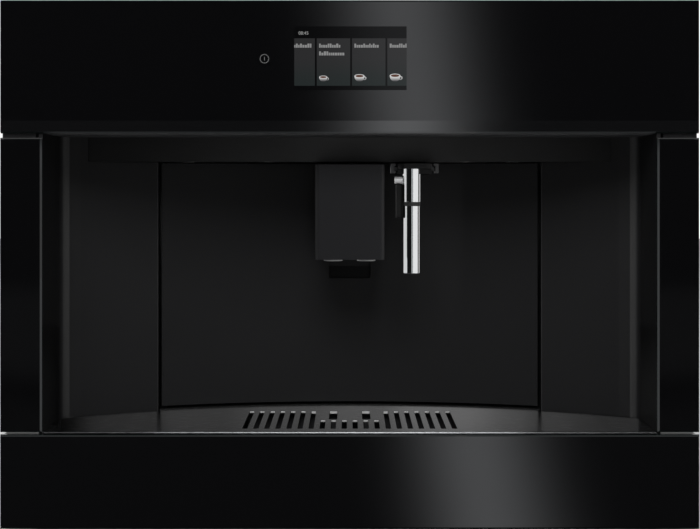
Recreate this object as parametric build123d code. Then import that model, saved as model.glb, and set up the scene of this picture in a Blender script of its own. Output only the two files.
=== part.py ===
"""Built-in coffee machine on telescopic cabinet rails, in millimetres.

+X is to the viewer's right, +Y to the rear and +Z up. The origin is the centre of the footprint on the
cabinet's shelf. Depths, called d below, are counted backwards from the glass face, so y = d - DEPTH / 2.
"""

import os
from math import sqrt

from build123d import *

# Overall
WIDTH = 595.0
DEPTH = 398.0
TOP = 455.0
FRONT_BOTTOM = 5.0
TOUCH = 0.1  # assembly gap between two pieces that are fixed to each other
EASE = 0.3  # free gap beside a piece that moves
RUN = 0.06  # radial clearance of a pin that turns in its hole

# Glass front
GLASS = 4.0
BEVEL = 1.5
CONTROL_HEIGHT = 113.4
FACET_HEIGHT = 10.7
FACET_SET_BACK = 1.2
PILLAR_WIDTH = 35.5
PILLAR_TOP_GAP = 3.8
PILLAR_BOTTOM_GAP = 2.0
LOWER_HEIGHT = 80.2
FRAME_INSET = 1.0
FRAME_REAR = 22.0  # the frames' rear plane, which meets the cabinet's front edges
FRAME_PLATE = 2.0
FRAME_WALL = 4.0
DISPLAY_X = (-50.6, 51.9)
DISPLAY_BELOW_TOP = (19.0, 80.2)
DISPLAY_DEPTH = 8.0

# Recess
CHEEK_WALL = 3.4
CHEEK_REAR = 48.0
WING_RADIUS = 555.0
WING_APEX = 131.0  # where the wings' arc would cross the middle plane
WING_WALL = 2.5
WING_EDGE_ROUND = 1.2
CORNER_RADIUS = 13.5
WING_SPAN = 82.8  # from the cheek to the door opening
FLANGE_REAR = 120.0
CEILING_WALL = 2.0
CEILING_REAR = 150.0
BAR_HEIGHT = 22.3
BAR_FRONT = 76.5
BAR_REAR = 125.0
BAR_WALL = 2.0
LENS_X = (-150.0, -75.0, 75.0, 150.0)
LENS_DEPTH = 92.0
LENS_RADIUS = 6.0
LENS_RIM = 2.0
LENS_THICKNESS = 1.2

# Floor, drip tray and shelf behind the door
FLOOR_WALL = 3.0
SILL_STEP = 2.8
SHELF_REAR = 310.0
SHELF_RIB_INSET = 29.5
SHELF_RIB_REAR = 300.0
SHELF_RIB_FRONT = 160.0
TRAY_PLATE = 2.2
TRAY_FRONT = 0.5
TRAY_GAP = 0.6
TRAY_DOOR_GAP = 3.5
TRAY_LIP_ROUND = 0.9
SLOT_COUNT = 20
SHORT_SLOT_COUNT = 6
SLOT_PITCH = 9.55
SLOT_WIDTH = 4.6
SLOT_FRONT = 14.5
LONG_SLOT = 79.5
SHORT_SLOT = 37.0
SLOT_ROUND = 1.2
CUP_SLOT_X = 15.0
CUP_SLOT_WIDTH = 7.5
CUP_SLOT_DEPTH = (56.0, 94.0)
BASIN_HALF = 115.0
BASIN_DEPTH = (12.5, 102.5)
BASIN_HEIGHT = 35.0
BASIN_WALL = 1.5
WELL_WALL = 1.5
FLOAT_RADIUS = 8.0
FLOAT_HEIGHT = 12.0
FLOAT_AT = (100.0, 88.0)
FLOAT_POST_RADIUS = 1.5

# Service door
DOOR_GAP = 2.2
DOOR_RADIUS = 640.5
DOOR_APEX = 130.0
DOOR_SKIN = 3.0
DOOR_EDGE_ROUND = 1.0
DOOR_SILL_GAP = 2.5
DOOR_TOP_GAP = 0.8
LINER_INSET = 1.2
LINER_RIM = 3.0
LINER_DEPTH = 10.0
LINER_PLATE = 2.0
HINGE_INSET = 3.7
HINGE_BEHIND_FRONT = 2.8
HINGE_PIN_RADIUS = 1.5
HINGE_PIN_IN_DOOR = 16.0
HINGE_PIN_IN_FRAME = 8.0
HINGE_BOSS_RADIUS = 5.0

# Coffee spout, which slides in a window of the door
SPOUT_TRAVEL = 56.0
SPOUT_HALF = 30.9
SPOUT_BELOW_CEILING = 25.6
SPOUT_HEIGHT = 84.4
SPOUT_DEPTH = (40.0, 112.0)
SPOUT_WALL = 1.8
SPOUT_EDGE_ROUND = 4.0
WINDOW_HALF = 20.0
WINDOW_BELOW_SPOUT_TOP = (11.0, 107.2)
WINDOW_ROUND = 2.0
NECK_HALF = 18.0
NECK_BELOW_SPOUT_TOP = (13.0, 48.0)
FLANGE_HALF = 24.0
FLANGE_OVERLAP = 4.5
FLANGE_WALL = 2.0
GUIDE_STRIP = 2.0
OUTLET_X = 15.0
OUTLET_DEPTH = 65.0
OUTLET_RADIUS = 8.5
OUTLET_BORE = 6.6
OUTLET_DROP = 2.3
MANIFOLD_ABOVE_BOTTOM = 6.4
MANIFOLD_HALF = 24.5
MANIFOLD_DEPTH = (50.0, 82.0)
CHANNEL_RADIUS = 3.0
MILK_TIP_X = 2.2
MILK_TIP_RADIUS = 0.9
MILK_TIP_DROP = 0.6

# Hot-water spout, which plugs on to the door
HEAD_MIDDLE = 58.5
HEAD_HALF = 15.2
HEAD_HEIGHT = 9.2
HEAD_BELOW_CEILING = 24.6
HEAD_FRONT = 46.0
HEAD_ROUND = 6.0
NOZZLE_RADIUS = 2.5
NOZZLE_FRONT = 95.0
NOZZLE_COLLAR_RADIUS = 5.0
NOZZLE_COLLAR = 4.0
TUBE_X = 55.5
TUBE_DEPTH = 55.0
SLEEVE_RADIUS = 8.05
SLEEVE_HEIGHT = 29.7
CAP_THICKNESS = 4.6
RING_RADIUS = 7.7
RING_HEIGHT = 3.6
TUBE_RADIUS = 7.4
TUBE_LENGTH = 60.5
TUBE_NECK_RADIUS = 5.0
TUBE_BORE = 3.0
LEVER_X = (41.6, 45.7)
LEVER_PIN_X = 40.2
LEVER_PIN_RADIUS = 3.15
LEVER_PIN_BELOW_HEAD = 5.8
LEVER_LENGTH = 33.7
LEVER_FRONT = 52.0
LEVER_THICKNESS = 9.0
LEVER_HOOK_RIM = 1.0
BUTTON_REACH = 6.3
BUTTON_PLATE = 3.0
BUTTON_HOOK = 2.0
BUTTON_HEIGHT = 8.6
BUTTON_DEPTH = (58.0, 72.0)
BUTTON_TRAVEL = 1.5
BUTTON_STEM = 3.0

# Casing
SHEET = 1.5
CASE_BOTTOM = 7.0
CASE_TOP_GAP = 15.0
FOLD = 8.0
SCREW_HEAD_RADIUS = 3.5
SCREW_HEAD = 2.0
SCREW_RADIUS = 1.9
SCREW_LENGTH = 7.0
SCREW_EDGE = 4.0
VENT_COUNT = 12
VENT_PITCH = 12.0
VENT_SIZE = (4.0, 60.0)

# Cabinet rails
RAIL_DEPTH = (30.0, 370.0)
RAIL_BOTTOM = 8.0
RAIL_HEIGHT = 45.0
RAIL_SHEET = 1.2
RAIL_REACH = 13.0
MEMBER_GAP = 0.8
BALL_RADIUS = 1.85
BALL_ROW = (60.0, 90.0, 120.0, 150.0, 180.0)
RAIL_HOLE_RADIUS = 2.5
RAIL_HOLE_SETBACK = 37.0  # from the cabinet's front edge
RAIL_HOLE_SPACING = 288.0
FOOT_PLATE = 2.0
FOOT_WIDTH = 30.0

# Water circuit
TANK_WIDTH = 97.0
TANK_SIDE_GAP = 11.5
TANK_FRONT = 160.0
TANK_BEHIND = 9.5  # gap to the rear panel
TANK_HEIGHT = 146.0
TANK_WALL = 2.0
TANK_BELOW_CASE = 4.0
TANK_GAP = 1.5
VALVE_RADIUS = 5.5
VALVE_FROM_REAR = 55.0
VALVE_LENGTH = 5.0
SOCKET_PLATE = 8.0
LID_THICKNESS = 2.5
LID_PIN_RADIUS = 1.5
LID_BARREL_RADIUS = 3.2
LID_BARREL_HALF = 30.0
LID_EAR = 5.0
PUMP_FROM_SIDE = 55.5
PUMP_HEIGHT = 45.0
PUMP_DEPTH = (190.0, 250.0)
PUMP_RADIUS = 22.0
PUMP_FOOT_HALF = 14.0
PUMP_YOKE = 2.0
HEATER_FROM_SIDE = 25.5
HEATER_WIDTH = 60.0
HEATER_DEPTH = (160.0, 280.0)
HEATER_Z = (30.0, 100.0)
HEATER_FIN_COUNT = 7
HEATER_FIN = 4.0
HOSE_RADIUS = 4.0
HOSE_BEND = 18.0
HOSE_FRONT = 140.0
HOSE_BEHIND_HEATER = 15.0
HOSE_HIGH = 225.0

# Beans and grinder
HOPPER_FROM_SIDE = 115.5
HOPPER_RIGHT = 30.0
HOPPER_DEPTH = (150.0, 300.0)
HOPPER_HEIGHT = 93.0
HOPPER_WALL = 2.5
GRINDER_AT = (-65.0, 215.0)
GRINDER_RADIUS = 40.0
GRINDER_HEIGHT = 95.0
GRINDER_CUP = 30.0
GRINDER_CUP_DEPTH = 45.0
BURR_RADII = (26.0, 12.0)
BURR_HEIGHT = 30.0
BURR_LIFT = 5.0
BURR_SHAFT_RADIUS = 4.0
BURR_SHAFT = 12.0
BLADE_COUNT = 6
CHUTE_DEPTH = (205.0, 225.0)
CHUTE_HEIGHT = 20.0
KNOB_FROM_SIDE = 80.5
KNOB_DEPTH = 215.0
KNOB_RADIUS = 14.0
KNOB_HEIGHT = 10.0
KNOB_SHAFT_RADIUS = 4.0
KNOB_SHAFT = 14.0
KNOB_GRIP = 2.4

# Brewing unit
INFUSER_X = (-15.0, 105.0)
INFUSER_DEPTH = (175.0, 275.0)
INFUSER_HEIGHT = 192.0
INFUSER_WALL = 3.0
INFUSER_TOP = 6.0
PISTON_RADIUS = 24.0
PISTON_LENGTH = 38.0
CHAMBER_WALL = 6.4
CHAMBER_HEIGHT = 55.0
CHAMBER_FLOOR = 10.0
CHAMBER_BELOW_PISTON = 31.0
ARM_HEIGHT = 25.0
ARM_LIFT = 15.0
ARM_THICKNESS = 14.0
SPINDLE_RADIUS = 5.0
SPINDLE_BEHIND = 20.0
SPINDLE_BOSS = 11.0
SPINDLE_COLLAR_RADIUS = 9.0
SPINDLE_COLLAR = 3.0
SPINDLE_SEAT = 10.0
MOTOR_HALF = 25.0
MOTOR_HEIGHT = 40.0
MOTOR_REACH = 45.0
GROUNDS_INSET = 29.5
GROUNDS_RIGHT = -25.0
GROUNDS_DEPTH = (150.0, 300.0)
GROUNDS_HEIGHT = 100.0
GROUNDS_WALL = 2.0

# Electrics
BOARD_LENGTH = 180.0
BOARD_BEHIND = 24.5  # gap to the rear panel
BOARD_Z = (150.0, 380.0)
BOARD = 1.6
STANDOFF = 3.5
STANDOFF_INSET = 10.0
TRANSFORMER = (26.0, 50.0, 50.0)  # off the board, along the depth, upright
TRANSFORMER_AT = (110.0, 25.0)  # from the board's front edge and its lower edge
RELAYS = (18.0, 40.0, 30.0)
RELAYS_AT = (30.0, 30.0)
CAPACITOR_COUNT = 4
CAPACITOR_HEIGHT = 22.0
CAPACITOR_RADIUS = 8.0
CAPACITOR_PITCH = 22.0
CAPACITORS_AT = (40.0, 110.0)
PLUG_COUNT = 4
PLUG = (15.0, 24.0, 18.0)
PLUG_PITCH = 36.0
PLUGS_AT = (20.0, 150.0)
INLET_FROM_SIDE = 33.5
INLET_WIDTH = 30.0
INLET_Z = (24.0, 46.0)
INLET_LENGTH = 24.0
INLET_RIM = 4.0
INLET_WALL = 3.0
INLET_PIN_SPACING = 7.0
INLET_PIN_SHIFT = (-2.0, 3.0)  # outer pins below the middle, centre pin above it
INLET_PIN_HALF = (1.0, 2.0)
SWITCH_FROM_SIDE = 93.5
SWITCH_Z = 35.0
SWITCH_HALF_X = 6.0
SWITCH_HALF_Z = 9.5
SWITCH_THICKNESS = 5.0
SWITCH_TILT = 8.0
SWITCH_BEZEL = 5.0
SWITCH_PROUD = 1.0
SWITCH_EDGE_ROUND = 1.0
SWITCH_FLOOR = 2.0
TRUNNION_RADIUS = 1.2
TRUNNION = 2.0

# Worked-out places
CEILING = TOP - CONTROL_HEIGHT
LOWER_TOP = FRONT_BOTTOM + LOWER_HEIGHT
CHEEK_X = WIDTH / 2 - PILLAR_WIDTH
OPENING_HALF = CHEEK_X - WING_SPAN
SHELF_RIB_X = OPENING_HALF - SHELF_RIB_INSET
SIDE_INNER = CHEEK_X + CHEEK_WALL + TOUCH
SIDE_OUTER = SIDE_INNER + SHEET
FRAME_X = WIDTH / 2 - FRAME_INSET
CASE_FRONT = FRAME_REAR + 2 * TOUCH
CASE_REAR = DEPTH - SCREW_HEAD  # outer face of the rear panel
CASE_INNER_REAR = CASE_REAR - SHEET
CASE_TOP = TOP - CASE_TOP_GAP
CASE_CEILING = CASE_TOP - SHEET
CASE_FLOOR = CASE_BOTTOM + SHEET
PLATE_TOP = LOWER_TOP + TOUCH + TRAY_PLATE
SILL_TOP = LOWER_TOP + SILL_STEP
BAR_BOTTOM = CEILING - BAR_HEIGHT
DOOR_HALF = OPENING_HALF - DOOR_GAP
DOOR_BOTTOM = SILL_TOP + DOOR_SILL_GAP
DOOR_TOP = BAR_BOTTOM - DOOR_TOP_GAP
DOOR_CENTRE = DOOR_APEX - DOOR_RADIUS
HINGE_X = HINGE_INSET - DOOR_HALF
HINGE_D = DOOR_CENTRE + sqrt(DOOR_RADIUS**2 - HINGE_X**2) + HINGE_BEHIND_FRONT
SPOUT_TOP = CEILING - SPOUT_BELOW_CEILING
SPOUT_BOTTOM = SPOUT_TOP - SPOUT_HEIGHT
WINDOW_Z = tuple(SPOUT_TOP - drop for drop in reversed(WINDOW_BELOW_SPOUT_TOP))
NECK_Z = tuple(SPOUT_TOP - drop for drop in reversed(NECK_BELOW_SPOUT_TOP))
FLANGE_Z = (WINDOW_Z[0] - FLANGE_OVERLAP, WINDOW_Z[1] + FLANGE_OVERLAP)
FLANGE_FRONT = DOOR_APEX + DOOR_SKIN + EASE
HEAD_TOP = CEILING - HEAD_BELOW_CEILING
HEAD_BOTTOM = HEAD_TOP - HEAD_HEIGHT
HEAD_X = (HEAD_MIDDLE - HEAD_HALF, HEAD_MIDDLE + HEAD_HALF)
NOZZLE_Z = (HEAD_TOP + HEAD_BOTTOM) / 2
SLEEVE_TOP = HEAD_TOP - CAP_THICKNESS
SLEEVE_BOTTOM = SLEEVE_TOP - SLEEVE_HEIGHT
RING_BOTTOM = SLEEVE_BOTTOM - RING_HEIGHT
TUBE_BOTTOM = RING_BOTTOM - TUBE_LENGTH
LEVER_PIN_Z = HEAD_BOTTOM - LEVER_PIN_BELOW_HEAD
TANK_X = (SIDE_INNER - TANK_SIDE_GAP - TANK_WIDTH, SIDE_INNER - TANK_SIDE_GAP)
TANK_DEPTH = (TANK_FRONT, CASE_INNER_REAR - TANK_BEHIND)
TANK_TOP = CASE_TOP - TANK_BELOW_CASE
TANK_BOTTOM = TANK_TOP - TANK_HEIGHT
VALVE_X = (TANK_X[0] + TANK_X[1]) / 2
VALVE_DEPTH = TANK_DEPTH[1] - VALVE_FROM_REAR
PUMP_AT = (SIDE_INNER - PUMP_FROM_SIDE, PUMP_HEIGHT)
HEATER_X = (HEATER_FROM_SIDE - SIDE_INNER, HEATER_FROM_SIDE + HEATER_WIDTH - SIDE_INNER)
HOPPER_X = (HOPPER_FROM_SIDE - SIDE_INNER, HOPPER_RIGHT)
KNOB_AT = (KNOB_FROM_SIDE - SIDE_INNER, KNOB_DEPTH)
GROUNDS_X = (GROUNDS_INSET - OPENING_HALF, GROUNDS_RIGHT)
HOPPER_TOP = CASE_CEILING - TOUCH
HOPPER_BOTTOM = HOPPER_TOP - HOPPER_HEIGHT
GRINDER_TOP = HOPPER_BOTTOM - TOUCH
GRINDER_BOTTOM = GRINDER_TOP - GRINDER_HEIGHT
SHELF_TOP = SILL_TOP
INFUSER_Z = (SHELF_TOP, SHELF_TOP + INFUSER_HEIGHT)
BREW_AT = (sum(INFUSER_X) / 2, (INFUSER_DEPTH[0] + INFUSER_DEPTH[1]) / 2)
SPINDLE_AT = (BREW_AT[0], INFUSER_DEPTH[1] + SPINDLE_BEHIND)
PISTON_BOTTOM = INFUSER_Z[1] - INFUSER_TOP - PISTON_LENGTH
CHAMBER_TOP = PISTON_BOTTOM - CHAMBER_BELOW_PISTON
CHAMBER_BOTTOM = CHAMBER_TOP - CHAMBER_HEIGHT
CHAMBER_BORE = PISTON_RADIUS + 2 * EASE
ARM_Z = (CHAMBER_BOTTOM + ARM_LIFT, CHAMBER_BOTTOM + ARM_LIFT + ARM_HEIGHT)
MOTOR_TOP = SHELF_TOP + MOTOR_HEIGHT
BOARD_DEPTH = (CASE_INNER_REAR - BOARD_BEHIND - BOARD_LENGTH, CASE_INNER_REAR - BOARD_BEHIND)
INLET_X = (INLET_FROM_SIDE - SIDE_INNER, INLET_FROM_SIDE + INLET_WIDTH - SIDE_INNER)
SWITCH_X = SWITCH_FROM_SIDE - SIDE_INNER
SWITCH_PIVOT_D = CASE_REAR - SWITCH_THICKNESS + SWITCH_PROUD


def block(x, d, z):
    """A box between its limits in x, in depth and in z."""
    spans = (x, d, z)
    size = [high - low for low, high in spans]
    middle = [(high + low) / 2 for low, high in spans]
    return Pos(middle[0], middle[1] - DEPTH / 2, middle[2]) * Box(*size)


def span(half):
    return (-half, half)


def rod_x(x, d, z, radius):
    return Pos(sum(x) / 2, d - DEPTH / 2, z) * Rot(0, 90, 0) * Cylinder(radius, x[1] - x[0])


def rod_d(x, d, z, radius):
    return Pos(x, sum(d) / 2 - DEPTH / 2, z) * Rot(90, 0, 0) * Cylinder(radius, d[1] - d[0])


def rod_z(x, d, z, radius):
    return Pos(x, d - DEPTH / 2, sum(z) / 2) * Cylinder(radius, z[1] - z[0])


def area(x, d):
    """A rectangle in plan, in x and depth."""
    return Pos(sum(x) / 2, sum(d) / 2) * Rectangle(x[1] - x[0], d[1] - d[0])


def disc(radius, centre_d):
    return Pos(0, centre_d) * Circle(radius)


def upright(plan, z):
    """A plan in x and depth, raised between two heights."""
    return Pos(0, -DEPTH / 2, z[0]) * extrude(plan, z[1] - z[0])


def along_x(outline, x):
    """A side outline of depths and heights, drawn out along x."""
    points = [(x[0], d - DEPTH / 2, z) for d, z in outline]
    return extrude(make_face(Polyline(*points, close=True)), x[1] - x[0], dir=(1, 0, 0))


def group(*shapes):
    """Separate solids that share one node."""
    return Compound([solid for shape in shapes for solid in shape.solids()])


def mirrored(shape):
    return mirror(shape, Plane.YZ)


def tube(points, radius, bend):
    """A hose along straight runs that are joined by tangent arcs, through points in x, depth and z."""
    path = FilletPolyline(*[(x, d - DEPTH / 2, z) for x, d, z in points], radius=bend)
    section = Plane(path @ 0, z_dir=path % 0) * Circle(radius)
    return sweep(section, path)


# Glass front


def bevelled_glass(x, z):
    sheet = block(x, (0, GLASS), z)
    return chamfer(sheet.faces().sort_by(Axis.Y)[0].edges(), BEVEL)


def control_panel_glass():
    half = WIDTH / 2
    fold = CEILING + FACET_HEIGHT
    side = [
        (GLASS, CEILING),
        (FACET_SET_BACK + BEVEL, CEILING),
        (FACET_SET_BACK, CEILING + BEVEL),
        (0, fold),
        (0, TOP - BEVEL),
        (BEVEL, TOP),
        (GLASS, TOP),
    ]
    plan = Polyline(
        (half, GLASS),
        (half, BEVEL),
        (half - BEVEL, 0),
        (BEVEL - half, 0),
        (-half, BEVEL),
        (-half, GLASS),
        close=True,
    )
    return along_x(side, span(half)) & upright(make_face(plan), (CEILING, TOP))


def front_frame(x, z, pocket):
    """A frame behind the glass: a plate with walls, open to the rear."""
    return block(x, (GLASS, FRAME_REAR), z) - block(*pocket)


def control_panel_frame():
    z = (CEILING + FRAME_INSET, TOP - FRAME_INSET)
    pocket = (
        span(FRAME_X - FRAME_WALL),
        (GLASS + FRAME_PLATE, FRAME_REAR + 1),
        (z[0] + FRAME_WALL, z[1] - FRAME_WALL),
    )
    return front_frame(span(FRAME_X), z, pocket) - display_space(TOUCH)


def display_space(grow):
    x = (DISPLAY_X[0] - grow, DISPLAY_X[1] + grow)
    z = (TOP - DISPLAY_BELOW_TOP[1] - grow, TOP - DISPLAY_BELOW_TOP[0] + grow)
    return block(x, (GLASS, GLASS + DISPLAY_DEPTH), z)


def lower_panel_frame():
    z = (FRONT_BOTTOM + FRAME_INSET, LOWER_TOP - FRAME_INSET)
    pocket = (
        span(FRAME_X - FRAME_WALL),
        (GLASS + FRAME_PLATE, FRAME_REAR + 1),
        (z[0] + FRAME_WALL, z[1] - FRAME_WALL),
    )
    notch_half = BASIN_HALF + EASE + WELL_WALL + TOUCH
    notch_front = BASIN_DEPTH[0] - EASE - WELL_WALL - TOUCH
    notch = block(span(notch_half), (notch_front, FRAME_REAR + 1), (well_bottom() - TOUCH, LOWER_TOP))
    return front_frame(span(FRAME_X), z, pocket) - notch


def pillar_frame():
    z = (LOWER_TOP + PILLAR_BOTTOM_GAP + FRAME_INSET, CEILING - PILLAR_TOP_GAP - FRAME_INSET)
    inner = SIDE_OUTER + FRAME_INSET
    plate = block((CHEEK_X, FRAME_X), (GLASS, GLASS + FRAME_PLATE), z)
    box = block((inner, FRAME_X), (GLASS + FRAME_PLATE, FRAME_REAR), z)
    pocket = block(
        (inner + FRAME_WALL, FRAME_X - FRAME_WALL),
        (GLASS + FRAME_PLATE, FRAME_REAR + 1),
        (z[0] + FRAME_WALL, z[1] - FRAME_WALL),
    )
    cheek = block((CHEEK_X, CHEEK_X + CHEEK_WALL), (GLASS, CHEEK_REAR), (LOWER_TOP, CEILING))
    return plate + (box - pocket) + cheek


# Recess


def recess_plan(grow=0.0):
    """The recess in plan, grown by a wall or shrunk by a gap: cheeks, round corners and the wings' arc."""
    sides = area(span(CHEEK_X + grow), (-CHEEK_REAR, WING_APEX))
    plan = sides & disc(WING_RADIUS + grow, WING_APEX - WING_RADIUS)
    corners = plan.vertices().group_by(Axis.Y)[-1]
    return fillet(corners, CORNER_RADIUS + grow)


def recess_wing():
    shell = recess_plan(WING_WALL) - recess_plan()
    beside = area((OPENING_HALF, CHEEK_X + WING_WALL), (CHEEK_REAR + TOUCH, WING_APEX))
    flange = area((OPENING_HALF, OPENING_HALF + WING_WALL), (CHEEK_REAR, FLANGE_REAR)) - recess_plan()
    plan = (shell & beside) + flange
    edge = plan.vertices().group_by(Axis.X)[0].sort_by(Axis.Y)[0]
    return upright(fillet(edge, WING_EDGE_ROUND), (LOWER_TOP, CEILING))


def recess_ceiling():
    return block(span(SIDE_INNER - TOUCH), (CASE_FRONT, CEILING_REAR), (CEILING, CEILING + CEILING_WALL))


def bar_plan(inset):
    front = BAR_FRONT + inset
    ends = recess_plan(-EASE - inset) & area(span(CHEEK_X), (front, WING_APEX))
    middle = area(span(OPENING_HALF - EASE - inset), (front, BAR_REAR - inset))
    return ends + middle


def light_bar():
    shell = upright(bar_plan(0), (BAR_BOTTOM, CEILING))
    hollow = upright(bar_plan(BAR_WALL), (BAR_BOTTOM + BAR_WALL, CEILING))
    boss_top = BAR_BOTTOM + HINGE_PIN_IN_FRAME + BAR_WALL
    boss = rod_z(HINGE_X, HINGE_D, (BAR_BOTTOM, boss_top), HINGE_BOSS_RADIUS)
    bar = (shell - hollow) + boss
    for x in LENS_X:
        bar -= rod_z(x, LENS_DEPTH, (BAR_BOTTOM - 1, BAR_BOTTOM + BAR_WALL), LENS_RADIUS + TOUCH)
    return bar - hinge_bore((BAR_BOTTOM - 1, BAR_BOTTOM + HINGE_PIN_IN_FRAME))


def light_lenses():
    seat = BAR_BOTTOM + BAR_WALL
    lenses = []
    for x in LENS_X:
        face = rod_z(x, LENS_DEPTH, (BAR_BOTTOM, seat), LENS_RADIUS)
        rim = rod_z(x, LENS_DEPTH, (seat, seat + LENS_THICKNESS), LENS_RADIUS + LENS_RIM)
        lenses.append(face + rim)
    return group(*lenses)


def hinge_bore(z):
    return rod_z(HINGE_X, HINGE_D, z, HINGE_PIN_RADIUS + RUN)


# Floor and drip tray


def well_bottom():
    return LOWER_TOP + TOUCH - BASIN_HEIGHT - EASE - WELL_WALL


def well_space(grow, z):
    x = span(BASIN_HALF + EASE + grow)
    d = (BASIN_DEPTH[0] - EASE - grow, BASIN_DEPTH[1] + EASE + grow)
    return block(x, d, z)


def tray_rear_disc(grow=0.0):
    return disc(DOOR_RADIUS - TRAY_DOOR_GAP + grow, DOOR_CENTRE)


def recess_floor():
    under = LOWER_TOP - FLOOR_WALL
    plate = block(span(SIDE_INNER - TOUCH), (CASE_FRONT, CEILING_REAR), (under, LOWER_TOP))
    well = well_space(WELL_WALL, (well_bottom(), LOWER_TOP))
    sill_plan = area(span(OPENING_HALF - TRAY_GAP), (CHEEK_REAR, SHELF_REAR)) - tray_rear_disc(TRAY_GAP)
    sill = upright(sill_plan, (under, SILL_TOP))
    floor = plate + well + sill
    for side in (-1, 1):
        x = sorted((side * SHELF_RIB_X, side * (SHELF_RIB_X + FLOOR_WALL)))
        floor += block(x, (SHELF_RIB_FRONT, SHELF_RIB_REAR), (CASE_FLOOR, under))
    floor -= well_space(0, (well_bottom() + WELL_WALL, LOWER_TOP + 1))
    return floor - hinge_bore((SILL_TOP - HINGE_PIN_IN_FRAME, SILL_TOP + 1))


def slot(x, d, width):
    plan = fillet(area((x - width / 2, x + width / 2), d).vertices(), SLOT_ROUND)
    return upright(plan, (LOWER_TOP, PLATE_TOP + 1))


def drip_tray_plate():
    sides = recess_plan(-TRAY_GAP) & area(span(CHEEK_X), (TRAY_FRONT, WING_APEX))
    middle = area(span(OPENING_HALF - TRAY_GAP), (TRAY_FRONT, 2 * DOOR_APEX))
    plan = (sides - middle) + (middle & tray_rear_disc())
    plate = upright(plan, (LOWER_TOP + TOUCH, PLATE_TOP))
    front_edges = plate.faces().sort_by(Axis.Y)[0].edges().filter_by(Axis.X)
    plate = fillet(front_edges, TRAY_LIP_ROUND)
    for index in range(SLOT_COUNT):
        place = index - (SLOT_COUNT - 1) / 2
        length = SHORT_SLOT if abs(place) < SHORT_SLOT_COUNT / 2 else LONG_SLOT
        plate -= slot(place * SLOT_PITCH, (SLOT_FRONT, SLOT_FRONT + length), SLOT_WIDTH)
    for x in (-CUP_SLOT_X, CUP_SLOT_X):
        plate -= slot(x, CUP_SLOT_DEPTH, CUP_SLOT_WIDTH)
    return plate


def basin_floor():
    return LOWER_TOP + TOUCH - BASIN_HEIGHT + BASIN_WALL


def drip_tray_basin():
    rim = LOWER_TOP + TOUCH
    outer = block(span(BASIN_HALF), BASIN_DEPTH, (rim - BASIN_HEIGHT, rim))
    inner = block(
        span(BASIN_HALF - BASIN_WALL),
        (BASIN_DEPTH[0] + BASIN_WALL, BASIN_DEPTH[1] - BASIN_WALL),
        (basin_floor(), rim + 1),
    )
    post = rod_z(*FLOAT_AT, (basin_floor(), rim - BASIN_WALL), FLOAT_POST_RADIUS)
    return (outer - inner) + post


def tray_float():
    z = (basin_floor() + TOUCH, basin_floor() + TOUCH + FLOAT_HEIGHT)
    return rod_z(*FLOAT_AT, z, FLOAT_RADIUS) - rod_z(*FLOAT_AT, z, FLOAT_POST_RADIUS + EASE)


# Service door


def door_band(front, rear, half):
    """A curved band in plan that follows the door's front face, between two depths behind it."""
    ring = disc(DOOR_RADIUS + rear, DOOR_CENTRE) - disc(DOOR_RADIUS + front, DOOR_CENTRE)
    return ring & area(span(half), (0, 2 * DOOR_APEX))


def nozzle_bore():
    return rod_d(HEAD_MIDDLE, (NOZZLE_FRONT, 2 * DOOR_APEX), NOZZLE_Z, NOZZLE_RADIUS + TOUCH)


def service_door():
    plan = door_band(0, DOOR_SKIN, DOOR_HALF)
    corners = plan.vertices().group_by(Axis.Y)[0]
    skin = upright(fillet(corners, DOOR_EDGE_ROUND), (DOOR_BOTTOM, DOOR_TOP))
    opening = block(span(WINDOW_HALF), (0, 2 * DOOR_APEX), WINDOW_Z)
    skin -= fillet(opening.edges().filter_by(Axis.Y), WINDOW_ROUND)
    return skin - nozzle_bore() - door_pin_bore()


def door_pin_bore():
    low = (DOOR_BOTTOM - 1, DOOR_BOTTOM + HINGE_PIN_IN_DOOR)
    high = (DOOR_TOP - HINGE_PIN_IN_DOOR, DOOR_TOP + 1)
    return hinge_bore(low) + hinge_bore(high)


def door_liner():
    front = DOOR_SKIN + TOUCH
    rear = front + LINER_DEPTH
    half = DOOR_HALF - LINER_INSET
    z = (DOOR_BOTTOM + LINER_INSET, DOOR_TOP - LINER_INSET)
    inner_z = (z[0] + LINER_RIM, z[1] - LINER_RIM)
    tray = upright(door_band(front, rear, half), z)
    tray -= upright(door_band(front + LINER_PLATE, rear + 1, half - LINER_RIM), inner_z)
    opening_half = FLANGE_HALF + EASE
    opening_z = (FLANGE_Z[0] - SPOUT_TRAVEL - GUIDE_STRIP, FLANGE_Z[1] + GUIDE_STRIP / 2)
    collar_z = (opening_z[0] - GUIDE_STRIP, opening_z[1] + GUIDE_STRIP)
    deep = (0, 2 * DOOR_APEX)
    collar = block(span(opening_half + GUIDE_STRIP), deep, collar_z)
    tray += collar & upright(door_band(front, rear, half), z)
    tray -= block(span(opening_half), deep, opening_z)
    strip_front = FLANGE_FRONT + FLANGE_WALL + EASE
    for side in (-1, 1):
        x = sorted((side * opening_half, side * (opening_half - 2 * GUIDE_STRIP)))
        tray += block(x, (strip_front, strip_front + GUIDE_STRIP), opening_z)
    return tray - nozzle_bore() - door_pin_bore()


def door_hinge_pins():
    low = (SILL_TOP - HINGE_PIN_IN_FRAME + EASE, DOOR_BOTTOM + HINGE_PIN_IN_DOOR)
    high = (DOOR_TOP - HINGE_PIN_IN_DOOR, BAR_BOTTOM + HINGE_PIN_IN_FRAME - EASE)
    return group(*[rod_z(HINGE_X, HINGE_D, z, HINGE_PIN_RADIUS) for z in (low, high)])


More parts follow.
